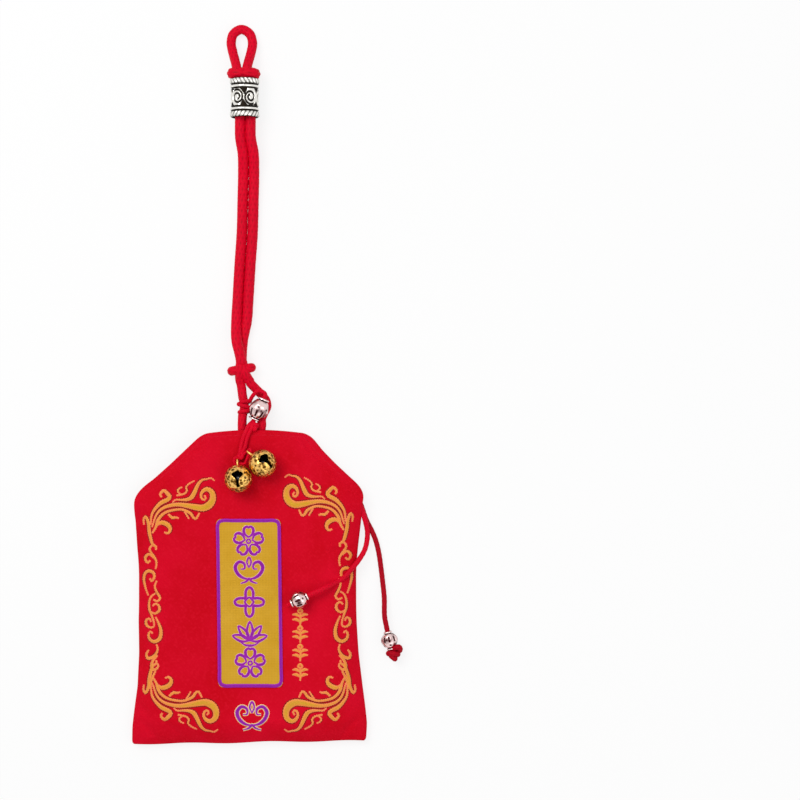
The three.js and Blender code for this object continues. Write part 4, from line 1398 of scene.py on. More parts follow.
# Scrolls of one corner: widths along each run, then its points, for the upper left corner
CORNER_SCROLLS = [
    (
        (0.5, 1.0, 1.1, 0.9, 0.4),
        [
            (-28.9, 11.8), (-28.8, 12.7), (-29.9, 13.6), (-30.5, 15.4), (-31.0, 17.8), (-31.1, 19.5),
            (-31.5, 20.9), (-32.1, 21.9), (-32.7, 21.1), (-32.6, 19.4),
        ],
    ),
    (
        (0.4, 0.8, 1.3, 1.2, 0.5),
        [
            (-30.5, 19.4), (-30.0, 22.8), (-27.5, 25.9), (-25.0, 27.3), (-24.65, 28.0), (-25.4, 29.0),
            (-26.4, 29.8), (-27.3, 29.1), (-27.5, 28.5), (-27.0, 27.8),
        ],
    ),
    (
        (0.4, 0.7, 1.0, 1.3, 1.9, 2.3, 1.7, 0.9, 0.4),
        [
            (-30.1, 18.7), (-28.5, 22.8), (-26.8, 24.4), (-24.5, 25.3), (-22.1, 25.6), (-19.5, 25.3),
            (-16.8, 24.8), (-14.4, 24.6), (-12.6, 25.5), (-11.65, 27.0), (-11.65, 28.8), (-12.3, 29.8),
            (-13.5, 30.25), (-14.7, 29.5), (-15.15, 28.3), (-14.8, 27.3), (-14.1, 27.0), (-13.7, 27.7),
            (-14.2, 28.4),
        ],
    ),
    (
        (0.3, 0.7, 1.4, 1.1, 0.6, 0.3),
        [
            (-23.8, 26.2), (-22.9, 27.0), (-21.0, 27.0), (-19.5, 27.1), (-18.1, 27.7), (-17.2, 29.1),
            (-16.5, 30.7), (-15.7, 32.2), (-14.6, 33.1), (-13.4, 33.3), (-12.2, 33.6), (-11.0, 32.8),
        ],
    ),
    (
        (0.5, 0.6, 0.3),
        [
            (-22.6, 28.3), (-20.0, 29.0), (-19.4, 30.0), (-19.7, 30.7), (-19.0, 31.7), (-17.1, 32.8),
        ],
    ),
    (
        (0.4, 0.6, 0.3),
        [
            (-21.4, 28.7), (-22.2, 29.6), (-21.8, 30.4), (-20.8, 30.9),
        ],
    ),
    (
        (0.5, 1.0, 0.8, 0.7, 0.9, 0.4),
        [
            (-30.0, 16.9), (-28.9, 18.7), (-28.3, 20.6), (-27.3, 22.1), (-25.9, 23.2), (-24.1, 23.8),
            (-22.2, 24.1), (-21.0, 24.1), (-19.5, 23.6), (-18.2, 22.8), (-17.4, 21.6), (-16.7, 21.3),
            (-15.6, 23.1),
        ],
    ),
    (
        (0.4, 0.6, 0.3),
        [
            (-20.2, 23.6), (-19.4, 22.3), (-18.8, 21.2),
        ],
    ),
    (
        (0.6, 0.9, 0.4),
        [
            (-25.1, 22.7), (-23.8, 21.6), (-22.8, 21.7), (-21.9, 21.4),
        ],
    ),
    (
        (0.5, 1.4, 1.4, 0.9, 0.4),
        [
            (-28.5, 19.3), (-27.3, 20.1), (-26.0, 19.9), (-24.8, 19.0), (-24.5, 17.8), (-25.2, 16.9),
            (-26.3, 17.2),
        ],
    ),
]

# Scrolls of the left side, from the upper corner down to the lower one
SIDE_SCROLLS = [
    (
        (0.5, 0.8, 0.4),
        [
            (-29.9, 13.4), (-30.8, 12.2), (-30.5, 11.1), (-29.6, 9.9), (-28.8, 8.6), (-28.7, 7.3),
            (-29.0, 6.0),
        ],
    ),
    (
        (0.4, 0.9, 0.5),
        [
            (-29.5, 9.3), (-31.1, 10.5), (-32.3, 9.2), (-31.5, 7.9), (-30.6, 8.6),
        ],
    ),
    (
        (0.4, 0.8, 1.0, 0.5),
        [
            (-31.3, -2.1), (-32.2, 0.4), (-32.7, 2.7), (-32.3, 4.6), (-31.1, 5.4), (-29.6, 4.8),
            (-29.4, 3.4), (-30.3, 2.3), (-30.8, 3.2),
        ],
    ),
    (
        (0.4, 0.8, 0.5),
        [
            (-28.6, 2.5), (-29.2, 0.8), (-28.5, -1.2), (-27.6, -2.8), (-28.4, -3.7), (-29.7, -3.3),
        ],
    ),
    (
        (0.4, 0.8, 0.4),
        [
            (-29.0, -1.4), (-30.3, -2.3), (-31.0, -4.1), (-30.9, -6.2), (-30.2, -8.1), (-29.5, -10.1),
            (-29.4, -11.4),
        ],
    ),
    (
        (0.4, 0.9, 0.4),
        [
            (-30.7, -6.8), (-29.3, -7.5), (-27.9, -6.6), (-27.9, -5.2), (-29.0, -4.5), (-29.9, -5.2),
        ],
    ),
    (
        (0.4, 0.9, 0.4),
        [
            (-29.4, -11.4), (-30.5, -11.8), (-31.9, -11.0), (-31.9, -9.6), (-30.9, -9.1), (-30.4, -10.1),
        ],
    ),
    (
        (0.4, 0.9, 1.2, 0.9, 0.4),
        [
            (-29.0, -8.5), (-28.0, -10.4), (-27.3, -12.7), (-27.7, -15.0), (-29.3, -16.0), (-30.8, -15.3),
            (-31.2, -13.9), (-30.5, -13.0), (-29.9, -13.6),
        ],
    ),
    (
        (0.4, 0.8, 1.0, 0.4),
        [
            (-28.7, -16.8), (-28.3, -18.2), (-29.0, -19.9), (-30.2, -20.9), (-31.5, -21.1), (-31.9, -19.9),
            (-31.1, -18.6),
        ],
    ),
    (
        (0.5, 1.0, 0.4),
        [
            (-28.4, -20.1), (-29.9, -22.0), (-30.2, -23.7), (-29.5, -24.6), (-28.3, -23.8), (-28.2, -22.9),
            (-29.0, -22.6),
        ],
    ),
    (
        (0.5, 0.8, 0.6),
        [
            (-29.0, -24.9), (-30.2, -27.5), (-30.8, -30.4),
        ],
    ),
]
CORNER_MIRROR_Y = -9.8
LOWER_STRETCH = 1.05
LOWER_STRETCH_X = -31.0
RIGHT_DRAW = 0.955
RIGHT_DRAW_X = 11.2
RIGHT_SHIFT_HEIGHTS = (-35.0, -20.0, 0.0, 30.0)
RIGHT_SHIFT = (0.0, -0.9, -1.3, -0.8)
RIGHT_RISE_HEIGHTS = (-40.0, -15.0, 5.0, 30.0)
RIGHT_RISE = (0.0, 0.1, 0.9, 1.0)


def lower_corner(points):
    """The lower partner of an upper corner's run, a little wider."""
    return [(LOWER_STRETCH_X + (x - LOWER_STRETCH_X) * LOWER_STRETCH, CORNER_MIRROR_Y - y) for x, y in points]


def mirrored(points):
    """The right-hand partner of a left-hand run, drawn in with the settled cloth."""
    x, y = np.array(points).T
    drawn = RIGHT_DRAW_X + (-x - RIGHT_DRAW_X) * RIGHT_DRAW + np.interp(y, RIGHT_SHIFT_HEIGHTS, RIGHT_SHIFT)
    return list(zip(drawn, y + np.interp(y, RIGHT_RISE_HEIGHTS, RIGHT_RISE)))


def all_scrolls():
    """Every scroll of the border: both sides and all four corners."""
    lower = [(widths, lower_corner(points)) for widths, points in CORNER_SCROLLS]
    left = [*CORNER_SCROLLS, *lower, *SIDE_SCROLLS]
    return [*left, *((widths, mirrored(points)) for widths, points in left)]


class POUCH_OT_scrolls(bpy.types.Operator):
    """Weaves the gold scroll border into the front cloth, with its dark outline, which is partly painted
    shade between the floats
    """

    bl_idname = "pouch.scrolls"
    bl_label = "Scroll border"

    def execute(self, context):
        height = size("ornament")
        margin = 2 * size("outline")
        gold, dark = [], []
        for widths, points in all_scrolls():
            # The outline runs are wider than the gold by the margin, so that between close runs they meet and
            # paint the shade in the gap
            wide = [widths[0] * 0.8, *(width + margin for width in widths[1:-1]), widths[-1] * 0.8]
            gold.append(run_of(points, widths, on_front, height, step=0.34, serration=0.14))
            dark.append(run_of(points, wide, on_front, height * 0.4, step=0.35))
        dress(piece("scroll_border", gold, gold_weft()), "pouch", "label_cloth")
        dress(piece("scroll_outline", dark, dark_outline()), "pouch", "brocade")
        return {"FINISHED"}


# Label

LABEL_LOW, LABEL_HIGH = box_mm("front_label")
LABEL_AT = shifted((LABEL_LOW + LABEL_HIGH) / 2, (-0.45, 0, 0))
LABEL_WIDTH = 19.6
LABEL_HEIGHT = LABEL_HIGH[1] - LABEL_LOW[1] - 0.5
LABEL_CORNER = 1.5
LABEL_LEAN = 0.0134
LABEL_ORNAMENT_Y = (14.5, 5.4, -3.9, -13.3, -22.4)
ORNAMENT_RADIUS = 4.6


def label_middle(y):
    """Middle of the label at a height above its own middle: the label leans a little."""
    return LABEL_AT[0] - LABEL_LEAN * y


def on_label(x, y):
    """Height of the label's face."""
    return on_front(x, y) + size("label")


def turned_points(points, centre, scale, degrees=0.0):
    """Plan points scaled, turned and moved to a centre."""
    c, s = math.cos(math.radians(degrees)), math.sin(math.radians(degrees))
    return [(centre[0] + scale * (x * c - y * s), centre[1] + scale * (x * s + y * c)) for x, y in points]


def blossom(centre, radius):
    """A flower of five petals with a ring in the middle."""
    edge = [(0.26, 0.0), (0.5, 0.27), (0.82, 0.3), (0.97, 0.12), (0.9, 0.0)]
    petal = [*edge, *((x, -y) for x, y in edge[-2::-1])]
    widths = (0.55, 1.0, 0.7, 1.0, 0.55)
    runs = [(widths, turned_points(petal, centre, radius, 90 + 72 * k)) for k in range(5)]
    ring = [(0.13 * math.cos(a), 0.13 * math.sin(a)) for a in np.linspace(0, math.tau, 9)]
    return [*runs, ((0.6, 0.6), turned_points(ring, centre, radius))]


def cloud(centre, radius):
    """Two curls that face each other over a low stem."""
    curl = [(0.0, -0.5), (0.35, -0.45), (0.75, -0.15), (0.9, 0.3)]
    curl += [(0.65, 0.62), (0.32, 0.5), (0.3, 0.18), (0.55, 0.15)]
    runs = []
    for sign in (1, -1):
        half = [(sign * x, y) for x, y in curl]
        runs.append(((0.5, 1.1, 1.2, 0.9, 0.4), turned_points(half, centre, radius)))
    stem = [(-0.55, -0.8), (-0.2, -0.68), (0.0, -0.5), (0.2, -0.68), (0.55, -0.8)]
    bud = [(0.0, 0.25), (0.14, 0.6), (0.0, 0.92), (-0.14, 0.6), (0.0, 0.25)]
    runs.append(((0.4, 0.9, 0.4), turned_points(stem, centre, radius)))
    return [*runs, ((0.5, 0.7, 0.5), turned_points(bud, centre, radius))]


def knot(centre, radius):
    """A four-lobed knot round a small diamond."""
    turn = np.linspace(0, math.tau, 41)
    reach = 0.66 + 0.3 * np.cos(4 * turn)
    lobes = list(zip(reach * np.cos(turn), reach * np.sin(turn)))
    diamond = [(0.3, 0.0), (0.0, 0.3), (-0.3, 0.0), (0.0, -0.3), (0.3, 0.0)]
    outer = ((0.9, 0.9), turned_points(lobes, centre, radius))
    return [outer, ((0.7, 0.7), turned_points(diamond, centre, radius))]


def lotus(centre, radius):
    """A lotus flower: a middle petal, two pairs of side petals and a base."""
    runs = []
    for turn, tall in ((0, 1.0), (38, 0.95), (-38, 0.95), (74, 0.85), (-74, 0.85)):
        petal = [(0.0, -0.45), (0.2, 0.1), (0.0, 0.55 * tall + 0.25), (-0.2, 0.1), (0.0, -0.45)]
        base = turned_points([(x, y + 0.45) for x, y in petal], (0.0, -0.5), 1.0, turn)
        runs.append(((0.5, 0.9, 0.6, 0.9, 0.5), turned_points(base, centre, radius)))
    foot = [(-0.6, -0.62), (-0.25, -0.8), (0.25, -0.8), (0.6, -0.62)]
    return [*runs, ((0.4, 0.9, 0.4), turned_points(foot, centre, radius))]


def sprig(centre, radius):
    """A small sprig: a stem with two pairs of leaves and a bud."""
    runs = [((0.5, 0.75, 0.5), turned_points([(0.0, -1.0), (0.05, -0.2), (0.0, 0.5)], centre, radius))]
    for sign in (1, -1):
        for low in (-0.55, 0.05):
            leaf = [(0.0, low), (sign * 0.45, low + 0.3), (sign * 0.95, low + 0.28)]
            runs.append(((0.5, 1.1, 0.4), turned_points(leaf, centre, radius)))
    bud = [(0.0, 0.5), (0.25, 0.75), (0.0, 1.0), (-0.25, 0.75), (0.0, 0.5)]
    return [*runs, ((0.6, 0.8, 0.6), turned_points(bud, centre, radius))]


def label_half(y):
    """Half the label's width at a height above its middle, with round corners."""
    short = LABEL_CORNER - np.clip(LABEL_HEIGHT / 2 - np.abs(y), 0, LABEL_CORNER)
    return LABEL_WIDTH / 2 - LABEL_CORNER + np.sqrt(np.maximum(LABEL_CORNER**2 - short**2, 0))


def border_path(inset):
    """The middle of the label's border: straight sides and round corners."""
    x, y = LABEL_WIDTH / 2 - inset, LABEL_HEIGHT / 2 - inset
    radius = LABEL_CORNER
    path = []
    for cx, cy, first in ((x, y, 0), (-x, y, 90), (-x, -y, 180), (x, -y, 270)):
        middle = (cx - math.copysign(radius, cx), cy - math.copysign(radius, cy))
        for degrees in (0, 45, 90):
            angle = math.radians(first + degrees)
            path.append((middle[0] + radius * math.cos(angle), middle[1] + radius * math.sin(angle)))
    path = [*path, path[0]]
    dense = []
    for (ax, ay), (bx, by) in zip(path, path[1:]):
        steps = max(int(math.hypot(bx - ax, by - ay) / 3), 1)
        dense += [(ax + (bx - ax) * k / steps, ay + (by - ay) * k / steps) for k in range(steps)]
    return [(label_middle(py) + px, LABEL_AT[1] + py) for px, py in [*dense, path[0]]]


class POUCH_OT_label(bpy.types.Operator):
    """Makes the gold woven label, its purple border and ornaments, and the ornaments beside and below it"""

    bl_idname = "pouch.label"
    bl_label = "Label"

    def execute(self, context):
        across = shares(30, LABEL_WIDTH) * 2 - 1
        up = shares(70, LABEL_HEIGHT)
        y = np.repeat((LABEL_HEIGHT * (up - 0.5))[:, None], len(across), axis=1)
        x = label_half(y) * across[None, :] + label_middle(y)
        y = y + LABEL_AT[1]
        base = on_front(x, y)
        shape = slab(np.dstack([x, y, base + size("label")]), np.dstack([x, y, base + 0.02]), up, across)
        made = piece("woven_label", [close_ends(shape, len(up), len(across))], gold_label_cloth())
        dress(made, "pouch", "label_cloth", "front_label")
        border = run_of(border_path(0.5), (1.0, 0.95, 1.05, 0.95, 1.0), on_label, 0.26, serration=0.08)
        trim = dress(piece("label_border", [border], purple_weft()), "pouch", "label_cloth")
        self.weave_ornaments()
        return {"FINISHED"}

    def weave_ornaments(self):
        height = size("ornament")
        runs = []
        for make, y in zip((blossom, cloud, knot, lotus, blossom), LABEL_ORNAMENT_Y):
            runs += make((label_middle(y - LABEL_AT[1]), y), ORNAMENT_RADIUS)
        self.weave("label_ornaments", runs, on_label, height, 0.18)
        self.weave("foot_ornament", cloud((0.3, -38.8), 5.0), on_front, height, 0.4)
        sprigs = []
        for y in (-8.6, -13.8, -19.4, -25.3):
            sprigs += sprig((14.9, y), 2.5)
        gold = [run_of(points, widths, on_front, height, serration=0.04) for widths, points in sprigs]
        dress(piece("gold_sprigs", gold, gold_weft()), "pouch", "label_cloth")

    def weave(self, name, runs, base, height, margin):
        purple = [run_of(points, widths, base, height, serration=0.04) for widths, points in runs]
        wide = [([width + margin for width in widths], points) for widths, points in runs]
        low = height * 0.4
        pale = [run_of(points, widths, base, low, step=0.3, serration=0.04) for widths, points in wide]
        dress(piece(name, purple, purple_weft()), "pouch", "label_cloth")
        dress(piece(name + "_edge", pale, pale_edge()), "pouch", "label_cloth")


# Turned metal pieces


def turned(profile, segments, relief, step=0.1):
    """A turned piece along +Y: a closed profile of radius and height, with relief on its outer face."""
    corners = np.array([*profile, profile[0]], float)
    stops = [corners[0]]
    for a, b in zip(corners, corners[1:]):
        count = max(int(np.linalg.norm(b - a) / step), 1)
        stops += [a + (b - a) * k / count for k in range(1, count + 1)]
    stops = np.array(stops)
    angle = np.linspace(0, math.tau, segments, endpoint=False)
    radius = np.repeat(stops[:, :1], segments, axis=1)
    height = np.repeat(stops[:, 1:], segments, axis=1)
    rise, hollow = relief(np.repeat(angle[None, :], len(stops), axis=0), height, radius)
    radius = radius + rise
    rows = np.dstack([radius * np.sin(angle)[None, :], height, radius * np.cos(angle)[None, :]])
    return patch(rows, distances(stops), np.linspace(0, 1, segments + 1), wrap=True, recess=hollow)


def placed(shape, centre, degrees):
    """A piece made along +Y, turned to a heading on the table and moved to its centre."""
    turn = Matrix.Rotation(math.radians(degrees - 90), 4, "Z")
    return moved(shape, Matrix.Translation(centre) @ turn)


BEAD_RADIUS = 2.6
COLLAR_RADIUS = 1.4
COLLAR_WIDTH = 0.4
GROOVE_RADIUS = 1.2
CHARM_BEAD_RADIUS = 3.0
CHARM_COLLAR_RADIUS = 1.9
CHARM_GROOVE_RADIUS = 1.6


def fluted(length, low, high):
    """Relief of a bead: flutes along part of its body, pits above them and dark grooves at its collars."""
    groove = length / 2 - COLLAR_WIDTH

    def relief(angle, height, radius):
        away = np.abs(height)
        along = np.clip(np.minimum(height - low, high - height) / 0.25, 0, 1)
        flutes = np.clip(2.1 - np.abs(np.sin(4.5 * angle + 0.16)) / 0.35, 0, 1) * along
        pits = np.clip(1.2 - np.hypot(np.sin(3 * angle + 0.2) / 1.4, height - high - 0.8) / 0.45, 0, 1)
        # A broad mottle, pressed in as shallow dents and darkened as painted grey reflection on the polished
        # bead
        dents_and_painted_reflection = 0.35 + 0.4 * np.sin(2 * angle + 1.0) * np.cos(1.7 * height + 0.6)
        hollow = np.maximum(np.maximum(flutes, pits), dents_and_painted_reflection)
        hollow = np.where(away < groove - 0.3, hollow, 1.0)
        hollow = np.where(away > groove - 0.02, 0.15, hollow)
        hollow = np.where(radius > 1.1, hollow, 1.0)
        return np.where(radius > 1.1, -0.3 * hollow, 0.0), hollow

    return relief


def bead_shape(bore, length, radius, collar, groove_radius, relief):
    """A silver bead: a ball body between two collars."""
    end = length / 2
    neck = end - COLLAR_WIDTH
    groove = neck - COLLAR_WIDTH / 2
    reach = math.asin(min(groove / radius, math.sin(math.acos(groove_radius / radius))))
    turns = np.linspace(-reach, reach, 25)
    bulge = [(radius * math.cos(a), groove * math.sin(a) / math.sin(reach)) for a in turns[1:-1]]
    low = [(bore, -end), (collar - 0.15, -end), (collar, -end + 0.15)]
    low += [(collar, -neck), (groove_radius, -groove)]
    high = [(wide, -height) for wide, height in low[::-1]]
    return turned([*low, *bulge, *high], 110, relief, 0.09)


def scroll_tree():
    """Points of the cut lines between the scrolls round the barrel bead, unrolled."""
    points = []
    for k in range(-1, SCROLL_COUNT + 2):
        sign = 1 if k % 2 else -1
        share = np.linspace(0, 1, 90)
        reach = 2.3 - 1.6 * share**0.9
        turn = math.radians(120) - math.radians(540) * share
        line = [(r * math.cos(a), r * math.sin(a)) for r, a in zip(reach, turn)]
        line += [(SCROLL_PITCH / 2 + 0.35 * x, x) for x in np.linspace(-2.5, -1.0, 20)]
        points += [((k + 0.5) * SCROLL_PITCH + sign * x, sign * y) for x, y in line]
    tree = KDTree(len(points))
    for index, (x, y) in enumerate(points):
        tree.insert((x, y, 0), index)
    tree.balance()
    return tree


BARREL_RADIUS = 4.55
BARREL_BORE = 3.6
BARREL_FLOOR = 0.42
SCROLL_COUNT = 6
SCROLL_PITCH = math.tau * BARREL_RADIUS / SCROLL_COUNT
ROPE_HALF = 0.87
WAIST_REACH = 4.4
WAIST_DEPTH = 0.3
TAIL_PLAY = 0.37
CHARM_PLAY = 0.1


def barrel_relief(angle, height, radius):
    """Rope rims, plain rings and a band of wire scrolls."""
    tree = scroll_tree()
    away = np.abs(height)
    outer = radius > BARREL_BORE + 0.4
    lay = 0.5 + 0.5 * np.cos(21 * angle + np.sign(height) * math.tau * height / 2.2)
    rim = np.clip(1 - ((away - BARREL_LENGTH / 2 + ROPE_HALF) / ROPE_HALF) ** 2, 0, 1) ** 0.5
    rope = rim * (0.25 + 0.75 * lay**0.6)
    ring = np.clip(1 - ((away - 3.4) / 0.4) ** 2, 0, 1) ** 0.5
    near = [tree.find((x, y, 0))[2] for x, y in zip((angle * BARREL_RADIUS).ravel(), height.ravel())]
    scroll = np.clip(np.array(near).reshape(height.shape) / 0.34 - 0.4, 0, 1) * (away < 2.6) * 0.95
    half = SCROLL_PITCH / 2
    seam = np.abs((angle * BARREL_RADIUS + half) % SCROLL_PITCH - half)
    scroll = np.where(seam < 0.75 * (away - 1.0), 0.0, scroll)
    high = np.maximum(np.maximum(rope, ring), scroll)
    high = np.where(outer, high, 0.0)
    return np.where(outer, (high - 1) * BARREL_FLOOR, 0.0), 1 - high


class POUCH_OT_beads(bpy.types.Operator):
    """Makes the three collared silver beads and the barrel bead with its scroll band"""

    bl_idname = "pouch.beads"
    bl_label = "Silver beads"

    def execute(self, context):
        tail_bore = size("tail") / 2 + TAIL_PLAY
        charm_bore = size("charm") / 2 + CHARM_PLAY
        tail_sizes = (BEAD_LENGTH, BEAD_RADIUS, COLLAR_RADIUS, GROOVE_RADIUS)
        small = bead_shape(tail_bore, *tail_sizes, fluted(BEAD_LENGTH, -1.5, 0.5))
        charm_sizes = (CHARM_BEAD_LENGTH, CHARM_BEAD_RADIUS, CHARM_COLLAR_RADIUS, CHARM_GROOVE_RADIUS)
        large = bead_shape(charm_bore, *charm_sizes, fluted(CHARM_BEAD_LENGTH, -2.6, -0.2))
        beads = [
            ("side_bead_silver", "side_bead", "side_tail_bead", small, SIDE_BEAD_AT, SIDE_HEADING),
            ("front_bead_silver", "front_bead", "front_tail_bead", small, FRONT_BEAD_AT, FRONT_HEADING),
            ("charm_bead_silver", "strap_base", "charm_bead", large, CHARM_BEAD_AT, CHARM_HEADING),
        ]
        for name, body, node, shape, centre, degrees in beads:
            made = piece(name, [placed(shape, centre, degrees)], worn_silver(), merge=True)
            dress(made, body, "silver", node)
        rim = BARREL_LENGTH / 2
        heights = np.linspace(-WAIST_REACH, WAIST_REACH, 23)
        drawn = [WAIST_DEPTH * math.cos(height / WAIST_REACH * math.pi / 2) for height in heights]
        waist = [(BARREL_RADIUS - depth, height) for depth, height in zip(drawn, heights)]
        low = [(BARREL_BORE, -rim), (BARREL_RADIUS - 0.25, -rim), (BARREL_RADIUS, -rim + 0.3)]
        high = [(radius, -height) for radius, height in low[::-1]]
        shape = placed(turned([*low, *waist, *high], 280, barrel_relief), BARREL_AT, 90)
        made = piece("barrel_silver", [shape], antique_silver(), merge=True)
        dress(made, "barrel", "silver", "barrel_bead")
        return {"FINISHED"}


# Bells

BELL_WALL = 0.5
BELL_WIRE = 0.3
BELL_EYE_HOLE = 1.15
PELLET_RADIUS = 1.8
KEYHOLE = [(0.0, 1.3), (0.45, 1.15), (0.75, 0.9), (1.25, 0.85), (1.68, 0.5), (1.75, 0.1), (1.5, -0.35)]
KEYHOLE += [(1.15, -0.75), (0.7, -1.15), (0.5, -1.6), (0.42, -2.2), (0.42, -3.3)]
KEYHOLE_DROP = 0.35
MARKS = 400
MARK_REACH = 0.15


def hammer_marks(seed):
    """Places of hammer marks on the unit ball, and each mark's width and depth."""
    draw = random.Random(seed)
    marks = KDTree(MARKS)
    blows = []
    for k in range(MARKS):
        up = 1 - 2 * (k + 0.5) / MARKS
        turn = k * math.pi * (3 - math.sqrt(5))
        flat = math.sqrt(1 - up * up)
        place = Vector((flat * math.cos(turn), flat * math.sin(turn), up))
        place += Vector([draw.uniform(-0.13, 0.13) for _ in range(3)])
        marks.insert(place.normalized(), k)
        blows.append((MARK_REACH * draw.uniform(0.6, 1.3), draw.uniform(0.4, 1.0)))
    marks.balance()
    return marks, blows


def hammered(point, marks, blows, depth):
    """How deep a point of the unit ball lies below the bell's outline, from its nearest hammer marks."""
    found = marks.find_n(point, 4)
    return max(depth * blows[k][1] * max(1 - (gap / blows[k][0]) ** 2, 0) for _, k, gap in found)


def ball(name, radius, subdivisions, sink=None):
    """A ball in millimetres, with each point sunk by a function of its direction."""
    body = bmesh.new()
    bmesh.ops.create_icosphere(body, subdivisions=subdivisions, radius=1.0)
    for vertex in body.verts:
        vertex.co = vertex.co * (radius - (sink(vertex.co) if sink else 0.0))
    mesh = bpy.data.meshes.new(name)
    body.to_mesh(mesh)
    body.free()
    made = bpy.data.objects.new(name, mesh)
    bpy.context.scene.collection.objects.link(made)
    return made


def pellet_ridge(depth, reach, point):
    """How deep a point of the unit ball lies below the ridge round a pellet."""
    return depth * min(abs(point.z) / reach, 1)


def keyhole_cutter():
    """A prism of the keyhole's outline, through the front of the bell."""
    outline = [*KEYHOLE, *((-x, y) for x, y in KEYHOLE[:0:-1])]
    body = bmesh.new()
    low = [body.verts.new((x, y - KEYHOLE_DROP, 0.0)) for x, y in outline]
    face = body.faces.new(low)
    raised = bmesh.ops.extrude_face_region(body, geom=[face])["geom"]
    bmesh.ops.translate(body, verts=[v for v in raised if isinstance(v, bmesh.types.BMVert)], vec=(0, 0, 8))
    bmesh.ops.recalc_face_normals(body, faces=body.faces)
    mesh = bpy.data.meshes.new("keyhole")
    body.to_mesh(mesh)
    body.free()
    made = bpy.data.objects.new("keyhole", mesh)
    bpy.context.scene.collection.objects.link(made)
    return made


def carved(body, *cutters):
    """Cuts closed meshes out of a body, and removes the cutters."""
    for cutter in cutters:
        cut = body.modifiers.new("cut", "BOOLEAN")
        cut.object = cutter
        cut.operation = "DIFFERENCE"
        cut.solver = "EXACT"
    graph = bpy.context.evaluated_depsgraph_get()
    body.data = bpy.data.meshes.new_from_object(body.evaluated_get(graph))
    body.modifiers.clear()
    for cutter in cutters:
        bpy.data.objects.remove(cutter)
    return body


class POUCH_OT_bells(bpy.types.Operator):
    """Makes the two hammered bells with their keyhole slits, wire eyes and loose pellets"""

    bl_idname = "pouch.bells"
    bl_label = "Bells"

    def execute(self, context):
        for number, name in enumerate(BELLS):
            self.make_shell(name, SEED + number)
            self.make_eye(name)
            self.make_pellet(name)
        return {"FINISHED"}

    def make_shell(self, name, seed):
        marks, blows = hammer_marks(seed)
        depth = size("dimple")
        outer = ball(name + "_shell_gilt", BELL_RADIUS, 6, lambda point: hammered(point, marks, blows, depth))
        inner = ball("hollow", BELL_RADIUS - BELL_WALL, 4)
        made = carved(outer, inner, keyhole_cutter())
        mesh = made.data
        radii = np.array([vertex.co.length for vertex in mesh.vertices])
        # The inner wall lies far below the outline and takes the darkest gilt: painted shade inside the bell
        hollow = np.clip((BELL_RADIUS - radii) / depth, 0, 1)
        attribute = mesh.attributes.new("recess", "FLOAT", "POINT")
        attribute.data.foreach_set("value", hollow.astype(np.float32))
        mesh.transform(Matrix.Scale(MM, 4) @ bell_matrix(name, BELLS[name]["roll"]))
        mesh.shade_smooth()
        mesh.set_sharp_from_angle(angle=math.radians(40))
        mesh.materials.clear()
        mesh.materials.append(hammered_gilt())
        dress(made, name, "gilt", name + "_shell")

    def make_eye(self, name):
        angle = np.linspace(0, math.tau, 49)
        reach = BELL_EYE_HOLE + BELL_WIRE
        middle = BELL_RADIUS + BELL_EYE_REACH
        ring = np.column_stack([0 * angle, middle + reach * np.cos(angle), reach * np.sin(angle)])
        shape, _ = tube(ring, 2 * BELL_WIRE, depth=0.0, sides=14, round_ends=False)
        made = piece(name + "_eye_wire", [moved(shape, bell_matrix(name, 0))], hammered_gilt())
        dress(made, name, "gilt", name + "_loop")

    def make_pellet(self, name):
        """A tumbled ball with the faint ridge that pressing left round it."""
        body = name.replace("bell", "pellet")
        ridge = functools.partial(pellet_ridge, 0.05, 0.08)
        made = ball(name + "_pellet_steel", PELLET_RADIUS, 4, ridge)
        aside = np.array([*BELLS[name]["at"], 0]) - middle_mm(name + "_shell") * (1, 1, 0)
        place = shifted(middle_mm(name + "_pellet"), aside)
        made.data.transform(Matrix.Scale(MM, 4) @ Matrix.Translation(place))
        made.data.shade_smooth()
        made.data.materials.append(tumbled_steel())
        dress(made, body, "steel", name + "_pellet")


# Amulet card


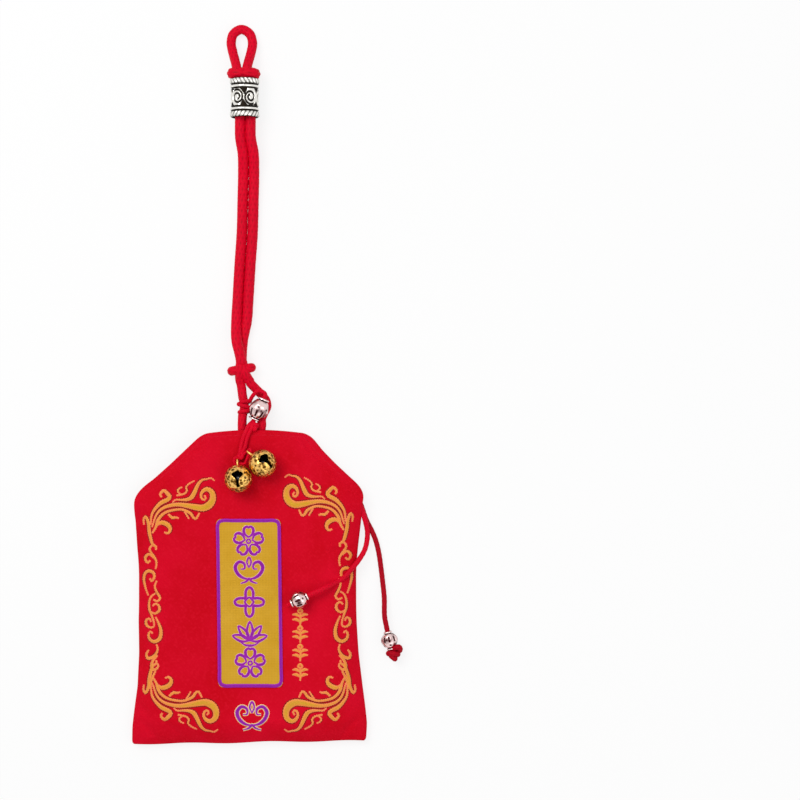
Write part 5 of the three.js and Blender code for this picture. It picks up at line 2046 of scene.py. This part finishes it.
class POUCH_OT_card(bpy.types.Operator):
    """Makes the folded paper wrap of the amulet card inside the pouch"""

    bl_idname = "pouch.card"
    bl_label = "Amulet card"

    def execute(self, context):
        low, high = box_mm("amulet_card")
        across = shares(24, high[0] - low[0])
        up = shares(28, high[1] - low[1])
        x = np.repeat((low[0] + (high[0] - low[0]) * across)[None, :], len(up), axis=0)
        y = np.repeat((low[1] + (high[1] - low[1]) * up)[:, None], len(across), axis=1)
        edge = np.minimum(np.minimum(x - low[0], high[0] - x), np.minimum(y - low[1], high[1] - y))
        round_edge = np.sqrt(np.clip(1 - (1 - np.clip(edge / 0.3, 0, 1)) ** 2, 0.01, 1))
        fold = 0.06 * (np.abs(x) < 9.0) + 0.05 * (y > high[1] - 14 - np.abs(x) * 0.35)
        half = (high[2] - low[2]) / 2 - 0.11
        middle = low[2] + half
        upper = np.dstack([x, y, middle + half * round_edge + fold])
        lower = np.dstack([x, y, middle - half * round_edge])
        shape = slab(upper, lower, up, across)
        made = piece("amulet_card_wrap", [close_ends(shape, len(up), len(across))], wrapping_paper())
        dress(made, "card", "paper", "amulet_card")
        return {"FINISHED"}


OPERATORS = (
    POUCH_OT_stage,
    POUCH_OT_strap,
    POUCH_OT_drawstring,
    POUCH_OT_charm_cord,
    POUCH_OT_cloth,
    POUCH_OT_scrolls,
    POUCH_OT_label,
    POUCH_OT_beads,
    POUCH_OT_bells,
    POUCH_OT_card,
)


class POUCH_PT_pieces(bpy.types.Panel):
    """Lists the pieces of the pouch with the sizes and colours that can be changed"""

    bl_idname = "POUCH_PT_pieces"
    bl_label = "Amulet pouch"
    bl_space_type = "VIEW_3D"
    bl_region_type = "UI"
    bl_category = "Pouch"

    def draw(self, context):
        for group in (context.scene.pouch_sizes, context.scene.pouch_colours):
            box = self.layout.box()
            for name in group.__annotations__:
                box.prop(group, name)
        for operator in OPERATORS:
            self.layout.operator(operator.bl_idname)


CLASSES = (PouchSizes, PouchColours, *OPERATORS, POUCH_PT_pieces)


def register():
    """Registers the classes and hangs the properties on the scene."""
    for each in CLASSES:
        bpy.utils.register_class(each)
    bpy.types.Scene.pouch_sizes = PointerProperty(type=PouchSizes)
    bpy.types.Scene.pouch_colours = PointerProperty(type=PouchColours)


def unregister():
    """Takes the properties and the classes away again."""
    del bpy.types.Scene.pouch_colours
    del bpy.types.Scene.pouch_sizes
    for each in reversed(CLASSES):
        bpy.utils.unregister_class(each)


def main():
    """Makes every piece in order."""
    register()
    bpy.ops.pouch.stage()
    bpy.ops.pouch.strap()
    bpy.ops.pouch.drawstring()
    bpy.ops.pouch.charm_cord()
    bpy.ops.pouch.cloth()
    bpy.ops.pouch.scrolls()
    bpy.ops.pouch.label()
    bpy.ops.pouch.beads()
    bpy.ops.pouch.bells()
    bpy.ops.pouch.card()


if __name__ == "__main__":
    main()
